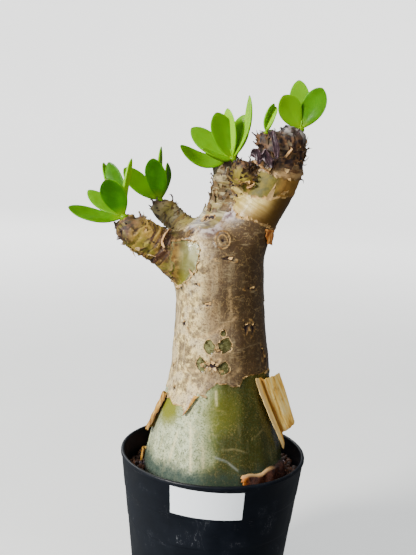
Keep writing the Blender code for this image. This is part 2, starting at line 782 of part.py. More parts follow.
def make_bark_sheets(parts, stem):
    """The peeling bark and the two dried leaves, all thin sheets."""
    shape = bmesh.new()
    shape.from_mesh(stem.data)
    tree = BVHTree.FromBMesh(shape)
    shape.free()
    tan = finish("papery_bark", (0.50, 0.31, 0.11), 0.6)
    brown = finish("old_bark", (0.22, 0.08, 0.03), 0.6)
    dark = finish("dried_leaf", (0.045, 0.022, 0.028), 0.55)
    sheets = (
        ("bark_flap_large", big_flap, 11, 8, tan),
        ("bark_curl_left", left_curl, 4, 10, tan),
        ("bark_curl_low", low_curl, 4, 4, tan),
        ("bark_tongue_front", front_tongue, 4, 5, tan),
        ("bark_flap_upper", upper_flap, 4, 5, tan),
        ("bark_scrap_on_soil", soil_scrap, 12, 3, brown),
        ("dried_leaf_hanging", hanging_leaf, 3, 12, dark),
        ("dried_leaf_crumpled", crumpled_leaf, 3, 14, dark),
    )
    for name, place, columns, rows, material in sheets:
        sheet(name, place, columns, rows, parts, material, tree)


def label_place(u, v):
    """A point on the label: u round the pot, v down it."""
    angle = math.radians(blend(LABEL_FROM, LABEL_TO, u))
    height = blend(LABEL_HIGH, LABEL_LOW, v) + LABEL_TILT * (0.5 - u)
    radius = pot_radius(height) + 0.3 + 0.5 * LABEL_THICKNESS
    return Vector((radius * math.sin(angle), -radius * math.cos(angle), height))


def make_label(parts):
    white = finish("white_paper", (0.85, 0.87, 0.90), 0.45)
    sheet("label", label_place, 14, 3, parts, white)


def main():
    remove_startup_objects()
    parts = new_collection("potted_tylecodon")
    cutters = new_collection("cutters")
    make_pot(parts, cutters)
    make_soil(parts)
    stem = make_stem(parts, cutters, list(ROSETTES.values()))
    green = finish("leaf_green", (0.16, 0.42, 0.02), 0.35)
    for name, (centre, bud_radius, leaves) in ROSETTES.items():
        rosette = head(name, centre, bud_radius, leaves, 0.0, parts, green)
        shade(rosette, 50.0)
    make_bark_sheets(parts, stem)
    make_label(parts)


main()
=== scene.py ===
"""Potted tylecodon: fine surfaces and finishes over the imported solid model.

Laid out as a Blender add-on and run as a script. Lengths in the tables are in millimetres, and
angles round the trunk or the pot are in degrees from the front (-Y) towards +X.
"""

import itertools
from math import cos, exp, hypot, pi, radians, sin, sqrt, tau

import bmesh
import bpy
import numpy as np
from bpy.props import FloatProperty, FloatVectorProperty, IntProperty, PointerProperty
from mathutils import Matrix, Vector
from mathutils.bvhtree import BVHTree


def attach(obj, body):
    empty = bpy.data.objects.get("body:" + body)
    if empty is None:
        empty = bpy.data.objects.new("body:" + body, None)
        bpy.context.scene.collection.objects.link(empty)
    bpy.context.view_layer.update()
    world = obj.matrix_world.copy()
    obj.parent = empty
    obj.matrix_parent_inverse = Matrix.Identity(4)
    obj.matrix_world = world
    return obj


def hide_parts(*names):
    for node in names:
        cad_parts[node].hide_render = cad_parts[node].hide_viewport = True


bl_info = {
    "name": "Potted Tylecodon",
    "version": (1, 0, 0),
    "blender": (4, 5, 0),
    "location": "View3D > Sidebar > Tylecodon",
    "description": "Dresses the packed potted tylecodon with its skin, bark, leaves, grit and pot",
    "category": "Add Mesh",
}

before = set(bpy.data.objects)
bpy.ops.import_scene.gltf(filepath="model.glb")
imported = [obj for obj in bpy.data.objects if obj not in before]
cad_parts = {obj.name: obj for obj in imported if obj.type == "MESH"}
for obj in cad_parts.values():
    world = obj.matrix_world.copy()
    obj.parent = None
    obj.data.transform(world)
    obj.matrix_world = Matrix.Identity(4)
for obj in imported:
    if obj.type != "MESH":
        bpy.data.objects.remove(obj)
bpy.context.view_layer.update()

MM = 0.001
EVEN = (1.0, 1.0, 1.0)
GOLDEN_ANGLE = radians(137.5)

# The pot, the label and the soil, as in the part's source
POT_HEIGHT = 83.7
RIM_RADIUS = 45.0
RIM_BEAD_HEIGHT = 1.8
BEAD_STANDS_OUT = 0.5
POT_WALL = 1.3
POT_FLOOR = 1.6
BASE_RADIUS = 35.2
BASE_CHAMFER = 0.9
STEP_HEIGHTS = (65.5, 50.5)
STEP_DEPTH = 0.25
DRAIN_HOLES = 8
DRAIN_HOLE_RADIUS = 3.2
DRAIN_CIRCLE_RADIUS = 23.0
SOIL_LEVEL = 71.5
LABEL_FROM, LABEL_TO = -25.0, 19.2
LABEL_LOW, LABEL_HIGH = 67.4, 80.9
LABEL_TILT = 1.2
BARK_GAP = 0.8

# Trunk stations from the soil up: centre x, centre y, height, radius
TRUNK = (
    (0.5, 0.0, 66.0, 32.4), (0.5, 0.0, 74.0, 34.2), (0.6, 0.0, 83.0, 33.4), (0.6, 0.0, 93.0, 31.0),
    (0.9, 0.0, 103.0, 28.5), (1.3, 0.0, 113.0, 26.0), (1.3, 0.0, 123.0, 24.1),
    (1.0, 0.0, 133.0, 22.9), (0.4, 0.0, 143.0, 22.1), (-0.2, 0.0, 154.0, 21.0),
    (-0.9, 0.0, 164.0, 21.0), (-2.2, 0.0, 173.0, 21.8), (-2.8, 0.3, 181.0, 21.6),
    (-2.0, 0.8, 189.0, 18.5), (-1.0, 1.0, 195.0, 11.0),
)
LIMBS = {
    "low_left": (
        (-6.0, -1.0, 177.0, 17.0), (-16.5, -4.5, 178.6, 13.0), (-25.0, -7.5, 182.0, 10.2),
        (-32.0, -9.5, 185.4, 9.0), (-38.0, -11.0, 188.8, 8.7), (-41.8, -11.8, 191.2, 8.2),
        (-45.8, -12.4, 197.0, 3.4),
    ),
    "back_left": (
        (-8.0, 4.0, 182.0, 13.0), (-17.0, 8.5, 189.0, 7.6), (-23.5, 10.8, 194.0, 6.2),
        (-28.5, 12.2, 198.4, 5.9), (-32.0, 12.8, 203.8, 2.8),
    ),
    "middle": (
        (-2.0, 3.0, 190.0, 13.5), (-0.5, 5.0, 199.0, 10.0), (0.2, 6.0, 206.0, 8.0),
        (0.2, 6.0, 213.0, 6.9), (0.3, 5.6, 219.5, 6.6), (1.4, 3.4, 225.6, 3.4),
    ),
    "right": (
        (4.0, 0.0, 184.0, 16.5), (9.5, -0.5, 193.0, 13.2), (13.6, -1.0, 200.0, 11.6),
        (17.0, -1.0, 206.5, 11.2), (20.4, -0.5, 213.0, 11.2), (23.2, 0.0, 220.0, 10.8),
        (24.1, 0.2, 227.0, 10.4), (24.2, 0.2, 233.0, 10.4), (24.4, 0.2, 237.6, 9.0),
    ),
    "knob": (
        (11.0, -0.5, 208.0, 6.0), (8.8, -3.6, 214.0, 6.0), (7.0, -5.6, 219.0, 5.8),
        (5.6, -6.2, 224.6, 2.8),
    ),
}

# Torn lower edge of the bark round the trunk: angle, height
BARK_EDGE = (
    (-190.0, 104.0), (-170.0, 108.0), (-145.0, 113.0), (-120.0, 109.0), (-98.0, 114.0),
    (-76.0, 116.0), (-57.0, 111.3), (-49.0, 111.0), (-41.0, 111.5), (-36.0, 108.8), (-30.0, 111.3),
    (-24.0, 119.1), (-17.0, 117.3), (-13.0, 120.7), (-3.0, 124.2), (7.0, 124.4), (14.0, 122.6),
    (23.0, 123.3), (28.0, 126.8), (37.0, 127.4), (80.0, 127.0), (104.0, 121.0), (112.0, 100.0),
    (130.0, 103.0), (150.0, 109.0), (170.0, 104.0),
)

# Old leaf scars that show green: angle, height, half width, half height, lean in degrees
LENSES = (
    (-12.4, 140.9, 2.7, 3.7, 14.0), (6.0, 142.0, 3.0, 3.9, -18.0), (-22.0, 132.4, 2.5, 3.8, 12.0),
    (3.6, 131.4, 2.8, 3.3, -12.0), (128.0, 150.0, 2.4, 3.2, 10.0), (160.0, 128.0, 2.6, 3.0, -12.0),
    (-126.0, 146.0, 2.5, 3.4, 8.0), (-146.0, 126.0, 2.2, 3.0, -8.0), (4.0, 147.6, 1.3, 1.9, -10.0),
)

# Round scars with rings: angle, height, radius
ROUND_SCARS = (
    (3.0, 189.4, 3.3), (-46.0, 191.6, 2.4), (172.0, 186.0, 3.2), (120.0, 176.0, 2.6),
)

# Small dark pits and dashes in the bark: angle, height, half width, half height
PITS = (
    (-9.0, 132.6, 2.7, 2.2), (-2.0, 139.4, 1.6, 1.0), (-52.0, 149.4, 2.0, 1.8),
    (-15.5, 160.4, 2.8, 1.1), (-27.0, 169.0, 2.8, 0.9), (34.0, 149.8, 1.2, 2.4),
    (44.0, 149.6, 1.2, 2.6), (61.0, 137.2, 1.0, 2.6), (66.0, 133.4, 1.1, 2.4),
    (-76.0, 138.6, 1.4, 2.0), (-74.0, 126.5, 1.5, 2.1), (-60.0, 117.8, 1.4, 1.6),
    (45.0, 168.0, 2.6, 0.9), (13.0, 181.8, 3.4, 1.0), (92.0, 158.0, 1.7, 2.2),
    (140.0, 139.0, 1.9, 1.8), (-160.0, 156.0, 2.6, 1.1), (-98.0, 164.0, 1.6, 2.0),
    (178.0, 145.0, 1.4, 2.5),
)

# Crack beside the low left limb, with bare pale green skin on its left side
CRACK = (
    (-17.6, -13.9, 188.3), (-14.8, -15.5, 188.0), (-11.9, -17.5, 187.3), (-11.1, -18.8, 184.4),
    (-11.5, -19.2, 181.8), (-12.2, -19.1, 178.4), (-12.4, -18.8, 175.2), (-14.2, -17.5, 173.8),
    (-16.7, -15.5, 169.8), (-18.6, -13.0, 167.7), (-21.4, -7.3, 165.6),
)

# Fine tan lines on the bare base, and one pale scratch: lines of angle, height
BASE_LINES = (
    ((-23.6, 115.6), (-12.2, 113.3), (6.9, 111.9)),
    ((-34.7, 107.3), (-26.5, 104.8)),
    ((5.7, 95.2), (17.6, 95.4), (32.6, 92.5)),
    ((51.4, 102.4), (35.3, 98.2)),
    ((118.0, 96.0), (131.0, 93.0), (150.0, 95.5)),
    ((-112.0, 99.0), (-128.0, 95.0)),
    ((176.0, 98.0), (160.0, 90.0)),
)
BARK_LINES = (
    ((-86.4, 157.7), (-48.3, 162.4), (-42.1, 156.2)),
    ((-25.0, 144.4), (-7.7, 147.4), (9.9, 152.7), (21.6, 155.0)),
    ((-47.2, 145.1), (-31.8, 149.9)),
    ((-51.9, 126.2), (-37.5, 129.0), (-23.6, 128.8)),
    ((-20.0, 127.0), (-5.0, 124.8), (10.0, 127.6), (24.0, 131.0)),
    ((8.0, 149.0), (14.0, 158.0), (12.0, 168.0)),
    ((120.0, 160.0), (150.0, 166.0), (175.0, 160.0)),
    ((-150.0, 150.0), (-120.0, 158.0), (-100.0, 152.0)),
)
PALE_SCRATCH = ((0.4, 91.9), (10.3, 90.1), (19.5, 85.8))
PALE_STREAKS = (
    ((-27.0, 105.8), (-22.2, 96.4), (-19.0, 84.6)),
    ((-3.9, 120.7), (-2.5, 114.8)),
    ((-38.0, 100.0), (-40.0, 88.0)),
    ((-11.0, 96.0), (-9.0, 87.0)),
    ((-96.0, 104.0), (-99.0, 90.0)),
)

# Edges of the skin's layers round the thick right limb: x, height
CREAM_FROM = (
    (1.0, 204.0), (6.0, 199.5), (8.7, 199.4), (10.9, 199.2), (14.0, 198.2), (17.1, 196.7),
    (19.5, 195.5), (26.0, 194.0),
)
GREEN_FROM = (
    (1.0, 216.6), (3.8, 214.4), (6.2, 212.8), (8.6, 210.6), (10.5, 209.0), (14.0, 208.6),
    (18.1, 208.7), (23.1, 209.3), (27.3, 210.2), (33.0, 211.0),
)
RINGS_FROM = (
    (6.0, 214.5), (12.0, 217.5), (15.0, 221.3), (20.0, 219.0), (25.0, 218.4), (34.0, 217.6),
)
BARE_LIMB_FROM = ((199.5, 6.0), (203.0, 3.4), (206.0, 2.5), (212.0, 2.0), (216.6, 1.0))

# Young ends: where the old leaf bases start along the limb, ring spacing, ring height
YOUNG_ENDS = {
    "low_left": (17.0, 3.4, 1.1),
    "back_left": (9.0, 1.9, 0.78),
    "middle": (9.0, 2.7, 0.62),
    "right": (45.0, 2.6, 0.6),
    "knob": (7.0, 2.4, 0.6),
}

# Rosettes, as in the part's source: bud centre, bud radius, then each leaf's tip, width, facing,
# backward bend and thickness
ROSETTES = {
    "rosette_low_left": (
        (-46.2, -12.5, 196.9),
        2.4,
        (
            ((-70.6, -19.0, 201.0), 9.4, (0.25, -0.5, 0.83), 2.6, 1.9),
            ((-64.7, 0.0, 207.5), 8.0, (0.45, -0.8, 0.4), 1.6, 1.8),
            ((-54.3, -17.5, 214.0), 11.6, (-0.28, -0.95, 0.1), 1.4, 2.0),
            ((-54.9, -5.0, 221.2), 8.8, (-0.35, -0.93, 0.05), 1.2, 1.9),
            ((-58.0, 1.0, 220.6), 7.6, (0.85, -0.5, 0.2), 1.0, 1.8),
            ((-43.9, -9.5, 223.6), 7.0, (0.98, -0.18, 0.05), 1.4, 1.9),
            ((-51.3, 4.0, 209.8), 8.4, (-0.1, 0.8, 0.6), 1.4, 1.9),
        ),
    ),
    "rosette_back_left": (
        (-31.8, 12.8, 203.2),
        2.1,
        (
            ((-49.6, 12.0, 217.9), 9.4, (0.3, -0.85, 0.42), 1.8, 1.9),
            ((-35.3, 4.0, 223.6), 10.4, (-0.25, -0.96, 0.1), 1.0, 2.0),
            ((-32.9, 24.0, 228.8), 5.4, (0.95, -0.2, 0.05), 0.8, 1.8),
            ((-29.0, 14.5, 221.5), 6.8, (0.95, -0.3, 0.1), -1.2, 1.9),
            ((-34.2, 27.0, 216.1), 8.8, (0.1, 0.8, 0.6), 1.6, 1.9),
        ),
    ),
    "rosette_middle": (
        (1.8, 3.0, 225.0),
        2.6,
        (
            ((-22.5, -6.0, 230.1), 10.4, (0.25, -0.6, 0.76), 5.4, 2.0),
            ((-18.3, 9.0, 238.4), 9.8, (0.25, -0.94, 0.22), 2.4, 1.9),
            ((-7.0, -1.0, 246.0), 10.6, (0.3, -0.93, 0.2), 1.2, 2.0),
            ((-12.0, -11.0, 229.2), 8.2, (0.05, -0.5, 0.86), 1.4, 1.8),
            ((-1.8, 2.0, 248.3), 8.4, (-0.78, -0.62, 0.02), 0.8, 1.8),
            ((6.4, 10.0, 245.9), 8.8, (-0.35, -0.93, 0.05), 1.0, 1.8),
            ((7.9, 0.0, 254.6), 9.4, (-0.97, -0.22, 0.05), 3.2, 1.9),
            ((2.9, 22.0, 242.4), 9.6, (0.05, 0.8, 0.6), 2.0, 2.0),
            ((-7.5, 20.0, 238.0), 9.0, (-0.45, 0.65, 0.6), 1.8, 1.9),
        ),
    ),
    "rosette_fork_left": (
        (16.3, -3.2, 238.0),
        1.5,
        (
            ((19.0, -4.6, 251.3), 6.6, (0.84, -0.55, 0.05), 1.4, 1.7),
            ((20.1, -2.4, 250.0), 6.2, (-0.72, -0.7, 0.05), -0.8, 1.7),
        ),
    ),
    "rosette_fork_right": (
        (32.4, 1.2, 240.2),
        2.2,
        (
            ((22.8, -4.0, 255.0), 11.0, (0.22, -0.96, 0.16), 1.2, 1.9),
            ((30.7, 8.0, 262.9), 9.2, (-0.06, -0.98, 0.16), 0.8, 1.8),
            ((40.5, -2.4, 259.4), 10.8, (-0.32, -0.93, 0.16), 2.0, 2.1),
            ((38.1, 15.0, 253.3), 8.6, (0.45, 0.78, 0.4), 1.4, 1.8),
            ((27.0, 15.0, 252.4), 8.4, (-0.5, 0.75, 0.4), 1.4, 1.8),
        ),
    ),
}

# How bright each leaf's green is, in the order of the rosettes' leaves: partly each leaf's own
# green and partly painted light and shade, as the leaf is lit or turned from the light
LEAF_GREENS_AND_PAINTED_LIGHT = {
    "rosette_low_left": (0.25, 0.35, 0.05, 0.15, 0.5, 0.8, 0.4),
    "rosette_back_left": (0.3, 0.05, 0.5, 0.2, 0.4),
    "rosette_middle": (0.4, 0.38, 0.35, 0.5, 1.0, 0.45, 0.7, 0.4, 0.3),
    "rosette_fork_left": (0.4, 0.75),
    "rosette_fork_right": (0.5, 0.42, 0.2, 0.4, 0.3),
}

# Dried points that stand off the young ends: start, middle bend, tip, width at the root
DRIED_POINTS = (
    ((14.6, -3.0, 235.6), (12.0, -4.0, 236.4), (9.6, -4.4, 238.0), 1.5),
    ((14.4, -3.4, 232.8), (12.2, -4.6, 232.8), (10.4, -5.2, 234.0), 1.5),
    ((33.8, 0.0, 231.0), (35.0, -0.6, 230.6), (35.6, -1.0, 229.4), 1.1),
    ((33.0, 0.6, 221.6), (34.6, 0.2, 221.0), (35.0, 0.0, 219.4), 1.1),
    ((33.4, -1.0, 217.6), (34.8, -1.2, 217.4), (35.2, -1.2, 215.8), 0.9),
    ((33.6, -1.0, 226.2), (34.8, -1.0, 226.4), (35.4, -1.0, 225.6), 0.9),
    ((-39.0, -10.0, 196.0), (-39.0, -10.2, 198.4), (-39.8, -10.6, 200.0), 1.5),
    ((-46.6, -12.4, 188.4), (-48.4, -12.6, 187.2), (-49.2, -12.8, 186.6), 1.9),
    ((-47.4, -12.8, 192.6), (-49.2, -13.0, 192.6), (-50.2, -13.0, 191.6), 1.6),
    ((-26.4, 11.6, 201.8), (-25.6, 11.4, 204.0), (-26.0, 11.2, 206.6), 1.2),
    ((-26.0, 11.2, 205.8), (-26.6, 11.0, 206.6), (-27.4, 11.0, 206.4), 0.9),
    ((-35.0, 12.2, 199.4), (-36.4, 12.0, 200.4), (-37.2, 11.6, 201.0), 1.2),
    ((-34.8, 11.6, 202.2), (-35.8, 11.4, 203.6), (-36.8, 11.2, 203.4), 1.2),
    ((10.6, -6.6, 223.4), (12.0, -6.6, 225.4), (11.8, -6.8, 227.2), 1.3),
    ((9.0, -8.0, 224.0), (9.6, -8.6, 226.0), (8.6, -8.8, 227.4), 1.1),
    ((4.0, -9.4, 223.2), (3.4, -10.2, 224.8), (3.8, -10.4, 226.2), 1.0),
)

# Papery strips: a line of points with the strip's width and its side direction
STRIPS = (
    (
        (
            (-24.4, -9.6, 194.2), (-26.2, -13.3, 192.0), (-27.6, -16.2, 189.8),
            (-28.2, -17.9, 187.6), (-27.4, -18.6, 185.7), (-26.5, -18.5, 184.2),
        ),
        1.5,
        (0.6, -0.5, 0.5),
    ),
    (
        ((10.4, -9.4, 226.0), (12.6, -10.6, 224.4), (15.4, -11.3, 222.5), (19.4, -10.9, 219.7)),
        1.1,
        (0.4, -0.6, 0.6),
    ),
    (((8.6, -9.9, 213.2), (10.4, -10.9, 213.9), (12.4, -11.4, 215.2)), 1.4, (0.2, -0.5, 0.9)),
    (((24.9, -9.2, 227.4), (26.4, -10.9, 229.6), (28.2, -12.0, 232.2)), 1.3, (0.7, -0.5, -0.5)),
)

# Smaller points strewn over the young ends: limb, how many, size
LOOSE_POINTS = (
    ("low_left", 12, 1.0), ("back_left", 10, 0.9), ("right", 26, 1.1), ("knob", 22, 1.0),
    ("middle", 8, 0.8),
)

# Thickness of a dried point at its root, start, bend and tip, as a share of its width
POINT_TAPER = (1.1, 1.0, 0.7, 0.2)

# Colours from the dark to the bright parts of the plain finishes, each with its place
ORANGE_BARK = ((0.36, (0.1, 0.022, 0.003)), (0.5, (0.36, 0.11, 0.014)), (0.64, (0.72, 0.34, 0.08)))
DRIED_LEAF = (
    (0.35, (0.012, 0.006, 0.009)),
    (0.55, (0.045, 0.022, 0.028)),
    (0.75, (0.17, 0.1, 0.11)),
)
STRIP_BARK = ((0.32, (0.22, 0.09, 0.03)), (0.52, (0.5, 0.28, 0.1)), (0.7, (0.74, 0.52, 0.26)))
DRIED_POINT = ((0.35, (0.012, 0.008, 0.01)), (0.6, (0.06, 0.032, 0.028)), (0.8, (0.24, 0.13, 0.07)))

# Seeds of the random draws
FLAKE_SEED, SCALE_SEED, POINT_SEED, GRANULE_SEED = 3, 8, 12, 5
LEAF_SEEDS_FROM, SHEET_SEEDS_FROM, DRIED_LEAF_SEED, STRIP_SEEDS_FROM = 100, 20, 40, 50

# How the stem's skin is made even: where it is cut off under the soil's top, and its smoothing
SKIN_CUT = 66.0
SOFTEN_SHARE, SOFTEN_ROUNDS = 0.5, 22
DOUBLES_WITHIN = 0.002

# Thin sheets: how far they keep off the skin, and how deep their grown edges are sunk
SHEET_CLEAR, STRIP_CLEAR, DRIED_LEAF_CLEAR = 0.35, 0.15, -0.6
HELD_DEPTH = 0.45

# Granules: how far out their middles and their edges may lie, and where they drop from
GRANULES_OUT_TO, GRANULES_WITHIN = 42.3, 42.9
DROP_FROM, LOWEST_SOIL = 90.0, 60.0

# The photograph's camera, with its pitch and roll in degrees
CAMERA_PLACE = (-6.7, -389.61, 239.18)
CAMERA_PITCH, CAMERA_ROLL = 10.2, 3.0
CAMERA_LENS, CAMERA_SENSOR = 54.1, 36.0

# The sky's colour, its bright side, and how bright its dim side is beside that
SKY_COLOUR = (0.88, 0.94, 1.0, 1.0)
BRIGHT_SIDE, DIM_SHARE = (-0.8, -0.3, 0.5), 0.16

# What the lights point at, in metres, and the light's colours
LIGHT_TARGET = (0.0, 0.0, 0.15)
WARM_WHITE, WHITE = (1.0, 0.97, 0.92), (1.0, 1.0, 1.0)


# Helpers


def deselect():
    bpy.ops.object.select_all(action="DESELECT")


def keep_alone(piece):
    deselect()
    piece.select_set(True)
    bpy.context.view_layer.objects.active = piece


def apply_all(piece):
    keep_alone(piece)
    for step in list(piece.modifiers):
        bpy.ops.object.modifier_apply(modifier=step.name)


def settle(piece):
    """The piece's place goes into its mesh."""
    keep_alone(piece)
    bpy.ops.object.transform_apply(location=True, rotation=True, scale=True)


def edit(piece):
    keep_alone(piece)
    bpy.ops.object.mode_set(mode="EDIT")
    bpy.ops.mesh.select_all(action="SELECT")


def leave_edit():
    bpy.ops.object.mode_set(mode="OBJECT")


def close_up(piece):
    """Doubles merged, and faces turned outwards."""
    edit(piece)
    bpy.ops.mesh.remove_doubles(threshold=DOUBLES_WITHIN * MM)
    bpy.ops.mesh.normals_make_consistent(inside=False)
    leave_edit()


def smooth(piece, angle=40.0):
    keep_alone(piece)
    bpy.ops.object.shade_smooth_by_angle(angle=radians(angle))


def dress(piece, name, material, slot, *nodes):
    """The piece gets its name and finish, rides on the part and stands for these nodes."""
    piece.name = name
    piece.data.name = name
    piece.data.materials.clear()
    piece.data.materials.append(material)
    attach(piece, "root")
    if nodes:
        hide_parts(*nodes)
    return piece


def points_of(mesh):
    found = np.empty(len(mesh.vertices) * 3)
    mesh.vertices.foreach_get("co", found)
    return found.reshape(-1, 3) / MM


def normals_of(mesh):
    found = np.empty(len(mesh.vertices) * 3)
    mesh.vertices.foreach_get("normal", found)
    return found.reshape(-1, 3)


def put_points(mesh, points):
    mesh.vertices.foreach_set("co", (np.asarray(points) * MM).ravel())
    mesh.update()


def paint(mesh, name, *channels):
    """A colour attribute from up to three values between 0 and 1 at each vertex."""
    values = np.ones((len(mesh.vertices), 4), np.float32)
    for index in range(3):
        values[:, index] = channels[index] if index < len(channels) else 0.0
    found = mesh.attributes.new(name, "FLOAT_COLOR", "POINT")
    found.data.foreach_set("color", values.ravel())


def mesh_piece(name, points, faces):
    mesh = bpy.data.meshes.new(name)
    mesh.from_pydata([tuple(point) for point in np.asarray(points) * MM], [], faces)
    piece = bpy.data.objects.new(name, mesh)
    bpy.context.scene.collection.objects.link(piece)
    return piece


def ease(value, low, high):
    share = np.clip((value - low) / (high - low), 0.0, 1.0)
    return share * share * (3.0 - 2.0 * share)


def bell(value, width):
    return np.exp(-((value / width) ** 2))


def rough_field(points, size, seed):
    """Smooth noise from -1 to 1; size is one number or one for each axis."""
    table = np.random.default_rng(seed).uniform(-1.0, 1.0, (24, 24, 24))
    place = np.asarray(points, float) / size
    cell = np.floor(place).astype(int)
    part = place - cell
    part = part * part * (3.0 - 2.0 * part)
    total = np.zeros(len(place))
    for corner in itertools.product((0, 1), repeat=3):
        share = np.prod(np.where(np.array(corner, bool), part, 1.0 - part), axis=1)
        i, j, k = ((cell + corner) % 24).T
        total += share * table[i, j, k]
    return total


def layered_field(points, size, seed, layers=3):
    total = np.zeros(len(points))
    for layer in range(layers):
        total += rough_field(points, np.asarray(size) / 2.0**layer, seed + layer) / 1.8**layer
    return total


def read_line(table, value):
    places, heights = zip(*table)
    return np.interp(value, places, heights)


def trunk_at(height):
    """Centre x, centre y and radius of the trunk at each height."""
    table = np.array(TRUNK)
    return [np.interp(height, table[:, 2], table[:, column]) for column in (0, 1, 3)]


def on_trunk(angle, height, out=0.0):
    """A point this far out from the trunk's surface."""
    x, y, radius = (float(value) for value in trunk_at(height))
    turn = radians(angle)
    reach = radius + out
    return Vector((x + reach * sin(turn), y - reach * cos(turn), height))


def trunk_angle(points):
    x, y, _ = trunk_at(points[:, 2])
    return np.degrees(np.arctan2(points[:, 0] - x, y - points[:, 1]))


def along_limb(points, stations):
    """For each point: its distance off the limb in radii, how far along, and the limb's axis."""
    best = np.full(len(points), 1e9)
    place = np.zeros(len(points))
    axes = np.zeros((len(points), 3))
    sides = np.zeros((len(points), 3))
    start = 0.0
    for low, high in zip(stations, stations[1:]):
        a, b = np.array(low[:3]), np.array(high[:3])
        reach = np.linalg.norm(b - a)
        share = np.clip((points - a) @ (b - a) / reach**2, 0.0, 1.0)
        foot = a + share[:, None] * (b - a)
        radius = low[3] + (high[3] - low[3]) * share
        away = np.linalg.norm(points - foot, axis=1) / radius
        nearer = away < best
        best = np.where(nearer, away, best)
        place = np.where(nearer, start + share * reach, place)
        axes[nearer] = (b - a) / reach
        sides[nearer] = (points - foot)[nearer]
        start += reach
    return best, place, axes, sides


def limb_length(stations):
    places = np.array(stations)[:, :3]
    return float(np.linalg.norm(np.diff(places, axis=0), axis=1).sum())


def limb_marks(name):
    """The limb's stations, and how far along the limb each one is."""
    line = np.array(LIMBS[name])
    steps = np.linalg.norm(np.diff(line[:, :3], axis=0), axis=1)
    return line, np.concatenate(([0.0], np.cumsum(steps)))


def limb_centre(line, marks, at):
    return np.array([np.interp(at, marks, line[:, column]) for column in range(3)])


def blobs(points, *balls):
    """How far each point is inside any of the balls (x, y, z, radius), from 0 to 1."""
    best = np.zeros(len(points))
    for x, y, z, radius in balls:
        gap = np.linalg.norm(points - np.array((x, y, z)), axis=1) / radius
        best = np.maximum(best, ease(1.0 - gap, 0.0, 0.7))
    return best


def line_gap(points, line):
    """Distance of each point from a line of points."""
    best = np.full(len(points), 1e9)
    for low, high in zip(line, line[1:]):
        a, b = np.array(low), np.array(high)
        share = np.clip((points - a) @ (b - a) / ((b - a) @ (b - a)), 0.0, 1.0)
        best = np.minimum(best, np.linalg.norm(points - a - share[:, None] * (b - a), axis=1))
    return best


def blend(a, b, share):
    return a + (b - a) * share


